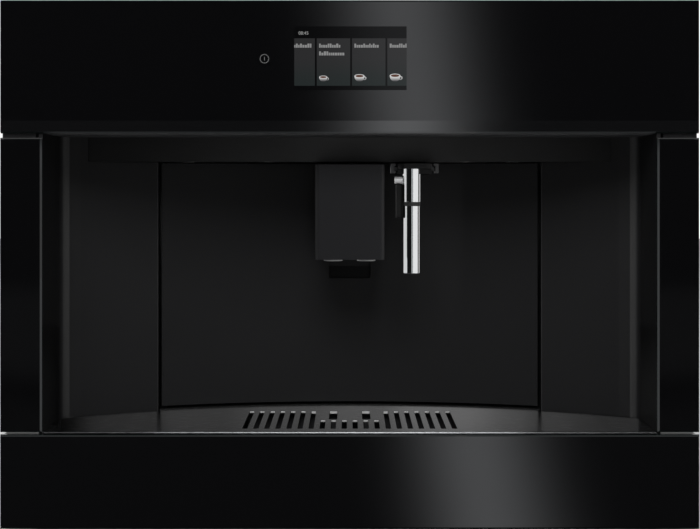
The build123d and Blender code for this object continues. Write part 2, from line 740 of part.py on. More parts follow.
def water_nozzle():
    near_side = HEAD_MIDDLE - NOZZLE_COLLAR_RADIUS
    liner_rear = DOOR_CENTRE + sqrt((DOOR_RADIUS + DOOR_SKIN + TOUCH + LINER_PLATE) ** 2 - near_side**2)
    collar_front = liner_rear + TOUCH
    stem = rod_d(HEAD_MIDDLE, (NOZZLE_FRONT, collar_front + LINER_DEPTH), NOZZLE_Z, NOZZLE_RADIUS)
    rim_bottom = DOOR_TOP - LINER_INSET - LINER_RIM
    collar = rod_d(HEAD_MIDDLE, (collar_front, collar_front + NOZZLE_COLLAR), NOZZLE_Z, NOZZLE_COLLAR_RADIUS)
    keep = block((0, 2 * HEAD_MIDDLE), (0, DEPTH), (0, rim_bottom - TOUCH))
    return (stem + (collar & keep)) - rod_d(HEAD_MIDDLE, (0, DEPTH), NOZZLE_Z, NOZZLE_RADIUS / 2)


# Coffee spout


def spout_cover():
    body = block(span(SPOUT_HALF), SPOUT_DEPTH, (SPOUT_BOTTOM, SPOUT_TOP))
    front = body.edges().filter_by(Axis.Z).group_by(Axis.Y)[0]
    body = fillet(front, SPOUT_EDGE_ROUND)
    hollow = block(
        span(SPOUT_HALF - SPOUT_WALL),
        (SPOUT_DEPTH[0] + SPOUT_WALL, SPOUT_DEPTH[1] + 1),
        (SPOUT_BOTTOM + SPOUT_WALL, SPOUT_TOP - SPOUT_WALL),
    )
    inner_front = hollow.edges().filter_by(Axis.Z).group_by(Axis.Y)[0]
    body -= fillet(inner_front, SPOUT_EDGE_ROUND - SPOUT_WALL)
    through = (SPOUT_BOTTOM - 1, SPOUT_BOTTOM + SPOUT_WALL)
    for side in (-1, 1):
        body -= rod_z(side * OUTLET_X, OUTLET_DEPTH, through, OUTLET_RADIUS + TOUCH)
        body -= rod_z(side * MILK_TIP_X, OUTLET_DEPTH, through, MILK_TIP_RADIUS + TOUCH)
    return body


def spout_carriage():
    head_half = SPOUT_HALF - SPOUT_WALL - TOUCH
    head_rear = SPOUT_DEPTH[1] - 2 * SPOUT_WALL
    carriage = block(span(head_half), (MANIFOLD_DEPTH[0], head_rear), NECK_Z)
    carriage += block(span(NECK_HALF), (head_rear, FLANGE_FRONT), NECK_Z)
    carriage += block(span(FLANGE_HALF), (FLANGE_FRONT, FLANGE_FRONT + FLANGE_WALL), FLANGE_Z)
    bottom = SPOUT_BOTTOM + MANIFOLD_ABOVE_BOTTOM
    carriage += block(span(MANIFOLD_HALF), MANIFOLD_DEPTH, (bottom, NECK_Z[0]))
    channel_z = sum(NECK_Z) / 2
    carriage -= rod_d(0, (OUTLET_DEPTH, FLANGE_FRONT + FLANGE_WALL + 1), channel_z, CHANNEL_RADIUS)
    carriage -= rod_x(span(OUTLET_X), OUTLET_DEPTH, channel_z, CHANNEL_RADIUS)
    for x in (-OUTLET_X, OUTLET_X):
        carriage -= rod_z(x, OUTLET_DEPTH, (bottom - 1, channel_z), CHANNEL_RADIUS)
    return carriage


def spout_outlets():
    z = (SPOUT_BOTTOM - OUTLET_DROP, SPOUT_BOTTOM + MANIFOLD_ABOVE_BOTTOM)
    pieces = []
    for side in (-1, 1):
        ring = rod_z(side * OUTLET_X, OUTLET_DEPTH, z, OUTLET_RADIUS)
        rim = ring.edges().group_by(Axis.Z)[0]
        ring = fillet(rim, OUTLET_DROP / 3)
        cup = (z[0] - 1, z[1] - SPOUT_WALL)
        ring -= rod_z(side * OUTLET_X, OUTLET_DEPTH, cup, OUTLET_BORE)
        ring -= rod_z(side * OUTLET_X, OUTLET_DEPTH, (z[0], z[1] + 1), CHANNEL_RADIUS)
        tip_z = (SPOUT_BOTTOM - MILK_TIP_DROP, z[1])
        pieces += [ring, rod_z(side * MILK_TIP_X, OUTLET_DEPTH, tip_z, MILK_TIP_RADIUS)]
    return group(*pieces)


# Hot-water spout


def water_spout_head():
    rear = DOOR_CENTRE + sqrt(DOOR_RADIUS**2 - HEAD_X[1] ** 2) - TOUCH
    body = block(HEAD_X, (HEAD_FRONT, rear), (HEAD_BOTTOM, HEAD_TOP))
    front = body.edges().filter_by(Axis.Z).group_by(Axis.Y)[0]
    body = fillet(front, HEAD_ROUND)
    below_cap = (HEAD_BOTTOM - 1, SLEEVE_TOP + TOUCH)
    body -= block((HEAD_X[0] - 1, HEAD_X[1] + 1), (HEAD_FRONT - 1, TUBE_DEPTH), below_cap)
    body -= rod_z(TUBE_X, TUBE_DEPTH, (HEAD_BOTTOM - 1, SLEEVE_TOP + TOUCH), SLEEVE_RADIUS + TOUCH)
    body -= rod_d(HEAD_MIDDLE, (NOZZLE_FRONT - TUBE_BORE, rear + 1), NOZZLE_Z, NOZZLE_RADIUS + EASE)
    stem_d = sum(BUTTON_DEPTH) / 2
    reach = BUTTON_TRAVEL + BUTTON_STEM + EASE
    for x in HEAD_X:
        pocket_x = (x - reach, x + reach)
        d = (stem_d - BUTTON_STEM - EASE, stem_d + BUTTON_STEM + EASE)
        z = (NOZZLE_Z - BUTTON_STEM / 2 - EASE, NOZZLE_Z + BUTTON_STEM / 2 + EASE)
        body -= block(pocket_x, d, z)
    return body


def round_tube_neck(z, radius):
    """A ring that sits on the neck of the chrome tube."""
    ring = rod_z(TUBE_X, TUBE_DEPTH, z, radius)
    return ring - rod_z(TUBE_X, TUBE_DEPTH, z, TUBE_NECK_RADIUS + TOUCH)


def water_tube_sleeve():
    return round_tube_neck((SLEEVE_BOTTOM, SLEEVE_TOP), SLEEVE_RADIUS)


def tube_seal_ring():
    return round_tube_neck((RING_BOTTOM, SLEEVE_BOTTOM), RING_RADIUS)


def water_tube():
    pipe = rod_z(TUBE_X, TUBE_DEPTH, (TUBE_BOTTOM, RING_BOTTOM), TUBE_RADIUS)
    pipe = fillet(pipe.edges().group_by(Axis.Z)[0], BEVEL / 2)
    pipe += rod_z(TUBE_X, TUBE_DEPTH, (RING_BOTTOM, SLEEVE_TOP), TUBE_NECK_RADIUS)
    return pipe - rod_z(TUBE_X, TUBE_DEPTH, (TUBE_BOTTOM - 1, SLEEVE_TOP + 1), TUBE_BORE)


def lever_pin():
    x = (LEVER_PIN_X, TUBE_X - SLEEVE_RADIUS - TOUCH / 2)
    return rod_x(x, TUBE_DEPTH, LEVER_PIN_Z, LEVER_PIN_RADIUS)


def release_lever():
    """A lever that hangs from its pin and hooks round the pin's rear half."""
    rear = LEVER_FRONT + LEVER_THICKNESS
    z = (LEVER_PIN_Z - LEVER_LENGTH, LEVER_PIN_Z - LEVER_PIN_RADIUS - EASE)
    grip = block(LEVER_X, (LEVER_FRONT, rear), z)
    grip = fillet(grip.edges().filter_by(Axis.X).group_by(Axis.Z)[0], BEVEL)
    hook_top = LEVER_PIN_Z + LEVER_PIN_RADIUS + LEVER_HOOK_RIM
    hook = block(LEVER_X, (TUBE_DEPTH, rear), (z[1], hook_top))
    reach = (LEVER_X[0] - 1, LEVER_X[1] + 1)
    return grip + hook - rod_x(reach, TUBE_DEPTH, LEVER_PIN_Z, LEVER_PIN_RADIUS + EASE)


def release_button():
    """The right-hand button: a bracket-shaped key on a stem that slides into the head."""
    edge = HEAD_X[1] + BUTTON_REACH
    z = (HEAD_TOP + TOUCH - BUTTON_HEIGHT, HEAD_TOP + TOUCH)
    inner = HEAD_X[1] + BUTTON_TRAVEL + EASE
    key = block((inner, edge), BUTTON_DEPTH, z)
    key -= block((inner - 1, edge - BUTTON_PLATE), BUTTON_DEPTH, (z[0] + BUTTON_HOOK, z[1] - BUTTON_HOOK))
    stem_d = sum(BUTTON_DEPTH) / 2
    stem = block(
        (HEAD_X[1] - BUTTON_STEM, edge - BUTTON_PLATE),
        (stem_d - BUTTON_STEM, stem_d + BUTTON_STEM),
        (NOZZLE_Z - BUTTON_STEM / 2, NOZZLE_Z + BUTTON_STEM / 2),
    )
    return key + stem


def opposite_button():
    return mirror(release_button(), Plane.YZ.offset(HEAD_MIDDLE))


# Casing


def side_panel():
    d = (CASE_FRONT, CASE_INNER_REAR - TOUCH)
    wall = block((SIDE_INNER, SIDE_OUTER), d, (CASE_BOTTOM, CASE_TOP))
    under = CASE_CEILING - TOUCH
    top_fold = block((SIDE_INNER - FOLD, SIDE_INNER), (CEILING_REAR, d[1]), (under - SHEET, under))
    rear_fold = block((SIDE_INNER - FOLD, SIDE_INNER), (d[1] - SHEET, d[1]), (CASE_FLOOR, under))
    panel = wall + top_fold + rear_fold
    for z in rear_screw_heights():
        panel -= rod_d(SIDE_INNER - SCREW_EDGE, (CASE_INNER_REAR - FOLD, DEPTH), z, SCREW_RADIUS + TOUCH)
    for d in top_screw_depths():
        panel -= rod_z(SIDE_INNER - SCREW_EDGE, d, (CASE_TOP - FOLD, TOP), SCREW_RADIUS + TOUCH)
    return panel


def rear_screw_heights():
    low, high = CASE_FLOOR + 4 * SCREW_EDGE, CASE_CEILING - 4 * SCREW_EDGE
    return [low + (high - low) * step / 3 for step in range(4)]


def top_screw_depths():
    low, high = CEILING_REAR + 4 * SCREW_EDGE, CASE_INNER_REAR - 4 * SCREW_EDGE
    return [low + (high - low) * step / 2 for step in range(3)]


def base_plate():
    return block(span(SIDE_INNER - TOUCH), (CASE_FRONT, CASE_INNER_REAR - TOUCH), (CASE_BOTTOM, CASE_FLOOR))


def rear_panel():
    thick = (CASE_INNER_REAR, CASE_REAR)
    panel = block(span(SIDE_OUTER), thick, (CASE_BOTTOM, CASE_TOP))
    for side in (-1, 1):
        for z in rear_screw_heights():
            panel -= rod_d(side * (SIDE_INNER - SCREW_EDGE), thick, z, SCREW_RADIUS + TOUCH)
    middle = CASE_TOP / 2
    for index in range(VENT_COUNT):
        x = (index - (VENT_COUNT - 1) / 2) * VENT_PITCH
        half = VENT_SIZE[0] / 2
        panel -= block((x - half, x + half), thick, (middle, middle + VENT_SIZE[1]))
    return panel - inlet_body(TOUCH) - switch_body(TOUCH)


def lid_pin(middle, d, z, foot):
    """A fixed pin on two ears that stand on a surface at height foot, for a lid's barrel."""
    reach = LID_BARREL_HALF + EASE + LID_EAR
    pin = rod_x((middle - reach, middle + reach), d, z, LID_PIN_RADIUS)
    for side in (-1, 1):
        x = sorted((middle + side * reach, middle + side * (reach - LID_EAR)))
        pin += block(x, (d - LID_PIN_RADIUS, d + LID_BARREL_RADIUS), (foot, z + LID_PIN_RADIUS))
    return pin


def hinged_lid(x, d, z):
    """A flat lid with a barrel along its rear edge, which turns on a lid pin."""
    pin_d, pin_z = lid_pin_place(d, z)
    middle = sum(x) / 2
    leaf = block(x, d, (z, z + LID_THICKNESS))
    barrel_x = (middle - LID_BARREL_HALF, middle + LID_BARREL_HALF)
    bridge = block(barrel_x, (d[1], pin_d), (z, z + LID_THICKNESS))
    barrel = rod_x(barrel_x, pin_d, pin_z, LID_BARREL_RADIUS)
    return leaf + bridge + barrel - rod_x(barrel_x, pin_d, pin_z, LID_PIN_RADIUS + RUN)


def lid_pin_place(d, z):
    return d[1] + LID_BARREL_RADIUS, z + LID_BARREL_RADIUS


def bean_lid_place():
    lap = HOPPER_WALL
    x = (HOPPER_X[0] - lap, HOPPER_X[1] + lap)
    d = (HOPPER_DEPTH[0] - lap, HOPPER_DEPTH[1] + lap)
    return x, d, CASE_TOP + EASE


def bean_lid():
    return hinged_lid(*bean_lid_place())


def top_cover():
    d = (CASE_FRONT, CASE_INNER_REAR - TOUCH)
    thick = (CASE_CEILING, CASE_TOP)
    cover = block(span(SIDE_INNER - TOUCH), d, thick)
    cover -= block(
        (HOPPER_X[0] + HOPPER_WALL, HOPPER_X[1] - HOPPER_WALL),
        (HOPPER_DEPTH[0] + HOPPER_WALL, HOPPER_DEPTH[1] - HOPPER_WALL),
        thick,
    )
    cover -= block(
        (TANK_X[0] - TANK_GAP, TANK_X[1] + TANK_GAP),
        (TANK_DEPTH[0] - TANK_GAP, tank_rear() + TANK_GAP),
        thick,
    )
    cover -= rod_z(*KNOB_AT, thick, KNOB_SHAFT_RADIUS + RUN)
    for side in (-1, 1):
        for depth in top_screw_depths():
            cover -= rod_z(side * (SIDE_INNER - SCREW_EDGE), depth, thick, SCREW_RADIUS + TOUCH)
    x, lid_d, z = bean_lid_place()
    pin_d, pin_z = lid_pin_place(lid_d, z)
    return cover + lid_pin(sum(x) / 2, pin_d, pin_z, CASE_TOP)


def case_screws():
    screws = []
    for side in (-1, 1):
        x = side * (SIDE_INNER - SCREW_EDGE)
        for z in rear_screw_heights():
            head = rod_d(x, (CASE_REAR, DEPTH), z, SCREW_HEAD_RADIUS)
            head = fillet(head.edges().group_by(Axis.Y)[-1], SCREW_HEAD / 2)
            slot_cut = block(
                (x - SCREW_HEAD_RADIUS, x + SCREW_HEAD_RADIUS),
                (DEPTH - SCREW_HEAD / 2, DEPTH + 1),
                (z - SCREW_HEAD / 4, z + SCREW_HEAD / 4),
            )
            shank = rod_d(x, (CASE_REAR - SCREW_LENGTH, CASE_REAR), z, SCREW_RADIUS)
            screws.append(head - slot_cut + shank)
        for d in top_screw_depths():
            head = rod_z(x, d, (CASE_TOP, CASE_TOP + SCREW_HEAD), SCREW_HEAD_RADIUS)
            head = fillet(head.edges().group_by(Axis.Z)[-1], SCREW_HEAD / 2)
            shank = rod_z(x, d, (CASE_TOP - SCREW_LENGTH, CASE_TOP), SCREW_RADIUS)
            screws.append(head + shank)
    return group(*screws)


# Cabinet rails, drawn for the right-hand side


def channel(web_x, lip_x, z, sheet):
    """A C-shaped rail: an upright web with a lip along its top and bottom edges."""
    web = block(sorted(web_x), RAIL_DEPTH, z)
    lips = sorted((web_x[0], lip_x))
    low = block(lips, RAIL_DEPTH, (z[0], z[0] + sheet))
    high = block(lips, RAIL_DEPTH, (z[1] - sheet, z[1]))
    return web + low + high


def member_z(level):
    """Bottom and top of rail member 0 (cabinet), 1 (middle) or 2 (machine)."""
    step = RAIL_SHEET + 2 * (BALL_RADIUS + EASE)
    return (RAIL_BOTTOM + level * step, RAIL_BOTTOM + RAIL_HEIGHT - level * step)


def rail_hole_depths():
    first = FRAME_REAR + RAIL_HOLE_SETBACK
    return (first, first + RAIL_HOLE_SPACING)


def cabinet_rail():
    outer = SIDE_OUTER + RAIL_REACH
    rail = channel((outer, outer - RAIL_SHEET), SIDE_OUTER + 2 * EASE, member_z(0), RAIL_SHEET)
    leg = block((outer - RAIL_SHEET, outer), RAIL_DEPTH, (0, RAIL_BOTTOM))
    foot = block((outer - FOOT_WIDTH, outer), RAIL_DEPTH, (0, FOOT_PLATE))
    rail += leg + foot
    middle = RAIL_BOTTOM + RAIL_HEIGHT / 2
    for d in rail_hole_depths():
        rail -= rod_x((outer - RAIL_SHEET, outer), d, middle, RAIL_HOLE_RADIUS)
    return rail


def middle_rail():
    outer = SIDE_OUTER + RAIL_REACH - RAIL_SHEET - MEMBER_GAP
    return channel((outer, outer - RAIL_SHEET), SIDE_OUTER + MEMBER_GAP + RAIL_SHEET, member_z(1), RAIL_SHEET)


def machine_rail():
    reach = SIDE_OUTER + RAIL_REACH - 2 * (RAIL_SHEET + MEMBER_GAP) - MEMBER_GAP
    return channel((SIDE_OUTER, SIDE_OUTER + RAIL_SHEET), reach, member_z(2), RAIL_SHEET)


def rail_balls():
    x = SIDE_OUTER + RAIL_REACH / 2
    balls = []
    for level in (0, 1):
        bottom, top = member_z(level)
        inset = RAIL_SHEET + EASE + BALL_RADIUS
        for z in (bottom + inset, top - inset):
            for d in BALL_ROW:
                ball = Pos(x, d - DEPTH / 2, z) * Sphere(BALL_RADIUS)
                balls += [ball, mirrored(ball)]
    return group(*balls)


# Water circuit


def tank_rear():
    """Rear of the tank's hinge shelf."""
    return TANK_DEPTH[1] - 2 * LID_BARREL_RADIUS


def tank_wall_rear():
    return tank_rear() - 2 * LID_BARREL_RADIUS


def water_tank():
    z = (TANK_BOTTOM, TANK_TOP)
    rear = tank_wall_rear()
    outer = block(TANK_X, (TANK_DEPTH[0], rear), z)
    outer = fillet(outer.edges().filter_by(Axis.Z), 3 * TANK_WALL)
    inner = block(
        (TANK_X[0] + TANK_WALL, TANK_X[1] - TANK_WALL),
        (TANK_DEPTH[0] + TANK_WALL, rear - TANK_WALL),
        (z[0] + TANK_WALL, z[1] + 1),
    )
    inner = fillet(inner.edges().filter_by(Axis.Z), 2 * TANK_WALL)
    valve_z = (TANK_BOTTOM - VALVE_LENGTH, TANK_BOTTOM + TANK_WALL)
    tank = outer - inner + rod_z(VALVE_X, VALVE_DEPTH, valve_z, VALVE_RADIUS)
    tank -= rod_z(VALVE_X, VALVE_DEPTH, (valve_z[0] - 1, valve_z[1] + 1), VALVE_RADIUS / 2)
    x, d, lid_z = tank_lid_place()
    pin_d, pin_z = lid_pin_place(d, lid_z)
    middle = sum(x) / 2
    reach = LID_BARREL_HALF + EASE + LID_EAR
    shelf_z = (TANK_TOP - 3 * TANK_WALL, TANK_TOP - 2 * TANK_WALL)
    shelf = block((middle - reach, middle + reach), (rear, pin_d + LID_BARREL_RADIUS), shelf_z)
    return tank + shelf + lid_pin(middle, pin_d, pin_z, shelf_z[1])


def tank_lid_place():
    return TANK_X, (TANK_DEPTH[0], tank_wall_rear()), TANK_TOP + EASE


def tank_lid():
    return hinged_lid(*tank_lid_place())


def tank_socket():
    z = (TANK_BOTTOM - SOCKET_PLATE, TANK_BOTTOM - TOUCH)
    plate = block((TANK_X[0], SIDE_INNER - TOUCH), TANK_DEPTH, z)
    seat = rod_z(VALVE_X, VALVE_DEPTH, (z[1] - VALVE_LENGTH - EASE, z[1] + 1), VALVE_RADIUS + EASE)
    brace_d = (TANK_DEPTH[0], tank_rear())
    brace = block((SIDE_INNER - FOLD, SIDE_INNER - TOUCH), brace_d, (z[0] - FOLD, z[0]))
    return plate + brace - seat - rod_z(VALVE_X, VALVE_DEPTH, (z[0] - 1, z[1]), HOSE_RADIUS / 2)


def water_pump():
    x, z = PUMP_AT
    body = rod_d(x, PUMP_DEPTH, z, PUMP_RADIUS)
    d = (PUMP_DEPTH[0] + PUMP_FOOT_HALF, PUMP_DEPTH[1] - PUMP_FOOT_HALF)
    foot = block((x - PUMP_FOOT_HALF, x + PUMP_FOOT_HALF), d, (CASE_FLOOR, z))
    reach = PUMP_RADIUS + PUMP_YOKE
    yoke = block((x - reach, x + reach), d, (z - PUMP_RADIUS / 2, z + reach))
    return body + foot + yoke


def thermoblock():
    feet_z = (CASE_FLOOR, HEATER_Z[0])
    body = block(HEATER_X, HEATER_DEPTH, HEATER_Z)
    pitch = (HEATER_DEPTH[1] - HEATER_DEPTH[0]) / HEATER_FIN_COUNT
    for index in range(HEATER_FIN_COUNT):
        d = HEATER_DEPTH[0] + (index + 0.5) * pitch
        groove = (d - HEATER_FIN / 2, d + HEATER_FIN / 2)
        body -= block((HEATER_X[0] - 1, HEATER_X[0] + 2 * HEATER_FIN), groove, HEATER_Z)
    for d in (HEATER_DEPTH[0], HEATER_DEPTH[1] - 2 * HEATER_FIN):
        body += block((HEATER_X[0] + 2 * HEATER_FIN, HEATER_X[1]), (d, d + 2 * HEATER_FIN), feet_z)
    return body


def water_hoses():
    """Three hoses: tank to pump, pump to heater, heater to brewing unit."""
    pump_x, pump_z = PUMP_AT
    heater_x = sum(HEATER_X) / 2
    heater_out = HEATER_DEPTH[1] - HOSE_BEHIND_HEATER
    socket_z = TANK_BOTTOM - SOCKET_PLATE
    suction = tube(
        [
            (VALVE_X, VALVE_DEPTH, socket_z - TOUCH),
            (VALVE_X, VALVE_DEPTH, pump_z + 2 * HOSE_BEND),
            (pump_x, VALVE_DEPTH, pump_z),
            (pump_x, PUMP_DEPTH[1] + TOUCH, pump_z),
        ],
        HOSE_RADIUS,
        HOSE_BEND / 2,
    )
    pressure = tube(
        [
            (pump_x, PUMP_DEPTH[0] - TOUCH, pump_z),
            (pump_x, HOSE_FRONT, pump_z),
            (heater_x, HOSE_FRONT, pump_z),
            (heater_x, HEATER_DEPTH[0] - TOUCH, pump_z),
        ],
        HOSE_RADIUS,
        HOSE_BEND,
    )
    feed = tube(
        [
            (heater_x, heater_out, HEATER_Z[1] + TOUCH),
            (heater_x, heater_out, HOSE_HIGH),
            (INFUSER_X[0] - TOUCH, heater_out, HOSE_HIGH),
        ],
        HOSE_RADIUS,
        HOSE_BEND,
    )
    return group(suction, pressure, feed)


# Beans and grinder


def bean_hopper():
    z = (HOPPER_BOTTOM, HOPPER_TOP)
    outer = block(HOPPER_X, HOPPER_DEPTH, z)
    x = (HOPPER_X[0] + HOPPER_WALL, HOPPER_X[1] - HOPPER_WALL)
    d = (HOPPER_DEPTH[0] + HOPPER_WALL, HOPPER_DEPTH[1] - HOPPER_WALL)
    inner = block(x, d, (z[0] + HOPPER_WALL, z[1] + 1))
    return outer - inner - rod_z(*GRINDER_AT, (z[0] - 1, z[1]), GRINDER_CUP)


def grinder_housing():
    body = rod_z(*GRINDER_AT, (GRINDER_BOTTOM, GRINDER_TOP), GRINDER_RADIUS)
    cup_floor = GRINDER_TOP - GRINDER_CUP_DEPTH
    body -= rod_z(*GRINDER_AT, (cup_floor, GRINDER_TOP + 1), GRINDER_CUP)
    body -= rod_z(*GRINDER_AT, (cup_floor - BURR_SHAFT - EASE, cup_floor + 1), BURR_SHAFT_RADIUS + RUN)
    top = INFUSER_Z[1] - INFUSER_TOP
    chute = block((GRINDER_AT[0], INFUSER_X[0] - TOUCH), CHUTE_DEPTH, (top - CHUTE_HEIGHT, top))
    return body + chute


def grinder_burr():
    bottom = GRINDER_TOP - GRINDER_CUP_DEPTH + BURR_LIFT
    middle = bottom + BURR_HEIGHT / 2
    cone = Pos(GRINDER_AT[0], GRINDER_AT[1] - DEPTH / 2, middle) * Cone(*BURR_RADII, BURR_HEIGHT)
    for turn in range(BLADE_COUNT):
        blade = Pos(BURR_RADII[0], 0, 0) * Box(BURR_RADII[0], BURR_LIFT / 2, 2 * BURR_HEIGHT)
        place = Pos(GRINDER_AT[0], GRINDER_AT[1] - DEPTH / 2, middle)
        cone -= place * Rot(0, 0, 360 / BLADE_COUNT * turn) * blade
    return cone + rod_z(*GRINDER_AT, (bottom - BURR_LIFT - BURR_SHAFT, bottom), BURR_SHAFT_RADIUS)


def grind_knob():
    bottom = CASE_TOP + EASE
    knob = rod_z(*KNOB_AT, (bottom, bottom + KNOB_HEIGHT), KNOB_RADIUS)
    knob = fillet(knob.edges().group_by(Axis.Z)[-1], KNOB_GRIP / 2)
    grip = block(
        (KNOB_AT[0] - KNOB_GRIP / 2, KNOB_AT[0] + KNOB_GRIP / 2),
        (KNOB_AT[1] - KNOB_RADIUS, KNOB_AT[1]),
        (bottom + KNOB_HEIGHT - KNOB_GRIP, TOP),
    )
    return knob - grip + rod_z(*KNOB_AT, (bottom - KNOB_SHAFT, bottom), KNOB_SHAFT_RADIUS)


# Brewing unit


def infuser_frame():
    frame = block(INFUSER_X, INFUSER_DEPTH, INFUSER_Z)
    frame -= block(
        (INFUSER_X[0] + INFUSER_WALL, INFUSER_X[1] - INFUSER_WALL),
        (INFUSER_DEPTH[0] - 1, INFUSER_DEPTH[1] - INFUSER_WALL),
        (INFUSER_Z[0] + INFUSER_WALL, INFUSER_Z[1] - INFUSER_TOP),
    )
    half = ARM_THICKNESS / 2 + 3 * EASE
    slot_z = (INFUSER_Z[0] + INFUSER_TOP, INFUSER_Z[1] - 2 * INFUSER_TOP)
    frame -= block((BREW_AT[0] - half, BREW_AT[0] + half), INFUSER_DEPTH, slot_z)
    frame += rod_z(*BREW_AT, (PISTON_BOTTOM, INFUSER_Z[1] - INFUSER_TOP), PISTON_RADIUS)
    bearing_z = (INFUSER_Z[1] - 2 * INFUSER_TOP, INFUSER_Z[1])
    bearing = block(
        (SPINDLE_AT[0] - SPINDLE_BOSS, SPINDLE_AT[0] + SPINDLE_BOSS),
        (INFUSER_DEPTH[1] - INFUSER_WALL, SPINDLE_AT[1] + SPINDLE_BOSS),
        bearing_z,
    )
    return frame + bearing - rod_z(*SPINDLE_AT, (0, TOP), SPINDLE_RADIUS + RUN)


def brew_carriage():
    z = (CHAMBER_BOTTOM, CHAMBER_TOP)
    chamber = rod_z(*BREW_AT, z, CHAMBER_BORE + CHAMBER_WALL)
    x = (INFUSER_X[0] + INFUSER_WALL + EASE, INFUSER_X[1] - INFUSER_WALL - EASE)
    arms = block(x, (BREW_AT[1] - ARM_THICKNESS / 2, BREW_AT[1] + ARM_THICKNESS / 2), ARM_Z)
    rear_arm = block(
        (BREW_AT[0] - ARM_THICKNESS / 2, BREW_AT[0] + ARM_THICKNESS / 2), (BREW_AT[1], SPINDLE_AT[1]), ARM_Z
    )
    carriage = chamber + arms + rear_arm + rod_z(*SPINDLE_AT, ARM_Z, SPINDLE_BOSS)
    carriage -= rod_z(*BREW_AT, (z[0] + CHAMBER_FLOOR, z[1] + 1), CHAMBER_BORE)
    return carriage - rod_z(*SPINDLE_AT, (0, TOP), SPINDLE_RADIUS + RUN)


def brew_spindle():
    shaft_z = (MOTOR_TOP - SPINDLE_SEAT + EASE, INFUSER_Z[1] + SPINDLE_COLLAR)
    shaft = rod_z(*SPINDLE_AT, shaft_z, SPINDLE_RADIUS)
    collar_z = (MOTOR_TOP + EASE, MOTOR_TOP + EASE + SPINDLE_COLLAR)
    collar = rod_z(*SPINDLE_AT, collar_z, SPINDLE_COLLAR_RADIUS)
    flat = block(
        (SPINDLE_AT[0] + SPINDLE_RADIUS + 1, SPINDLE_AT[0] + SPINDLE_COLLAR_RADIUS),
        (SPINDLE_AT[1] - SPINDLE_COLLAR_RADIUS, SPINDLE_AT[1] + SPINDLE_COLLAR_RADIUS),
        collar_z,
    )
    return shaft + (collar - flat)


def brew_motor():
    x, d = SPINDLE_AT
    body_d = (INFUSER_DEPTH[1] + TOUCH, d + MOTOR_REACH - MOTOR_HALF)
    body = block((x - MOTOR_HALF, x + MOTOR_HALF), body_d, (SHELF_TOP, MOTOR_TOP))
    return body - rod_z(x, d, (MOTOR_TOP - SPINDLE_SEAT, MOTOR_TOP + 1), SPINDLE_RADIUS + RUN)


def grounds_container():
    z = (SHELF_TOP + TOUCH, SHELF_TOP + TOUCH + GROUNDS_HEIGHT)
    outer = block(GROUNDS_X, GROUNDS_DEPTH, z)
    inner = block(
        (GROUNDS_X[0] + GROUNDS_WALL, GROUNDS_X[1] - GROUNDS_WALL),
        (GROUNDS_DEPTH[0] + GROUNDS_WALL, GROUNDS_DEPTH[1] - GROUNDS_WALL),
        (z[0] + GROUNDS_WALL, z[1] + 1),
    )
    return outer - inner


# Electrics


def on_board(size, place):
    """A component on the board: its size off the board, along the depth and upright, and its place."""
    front = STANDOFF + BOARD - SIDE_INNER
    d, z = BOARD_DEPTH[0] + place[0], BOARD_Z[0] + place[1]
    return block((front, front + size[0]), (d, d + size[1]), (z, z + size[2]))


def control_board():
    face = STANDOFF - SIDE_INNER
    front = face + BOARD
    board = block((face, front), BOARD_DEPTH, BOARD_Z)
    for d in (BOARD_DEPTH[0] + STANDOFF_INSET, BOARD_DEPTH[1] - STANDOFF_INSET):
        for z in (BOARD_Z[0] + STANDOFF_INSET, BOARD_Z[1] - STANDOFF_INSET):
            board += rod_x((TOUCH - SIDE_INNER, face), d, z, STANDOFF)
    board += on_board(TRANSFORMER, TRANSFORMER_AT)
    board += on_board(RELAYS, RELAYS_AT)
    for index in range(CAPACITOR_COUNT):
        d = BOARD_DEPTH[0] + CAPACITORS_AT[0] + index * CAPACITOR_PITCH
        z = BOARD_Z[0] + CAPACITORS_AT[1]
        board += rod_x((front, front + CAPACITOR_HEIGHT), d, z, CAPACITOR_RADIUS)
    for index in range(PLUG_COUNT):
        board += on_board(PLUG, (PLUGS_AT[0] + index * PLUG_PITCH, PLUGS_AT[1]))
    return board


def inlet_body(grow=0.0):
    x = (INLET_X[0] - grow, INLET_X[1] + grow)
    z = (INLET_Z[0] - grow, INLET_Z[1] + grow)
    return block(x, (CASE_REAR - INLET_LENGTH, CASE_REAR), z)


def switch_body(grow=0.0):
    half_x = SWITCH_HALF_X + SWITCH_BEZEL + grow
    half_z = SWITCH_HALF_Z + SWITCH_BEZEL + grow
    x = (SWITCH_X - half_x, SWITCH_X + half_x)
    z = (SWITCH_Z - half_z, SWITCH_Z + half_z)
    return block(x, (CASE_REAR - INLET_LENGTH / 2, CASE_REAR), z)


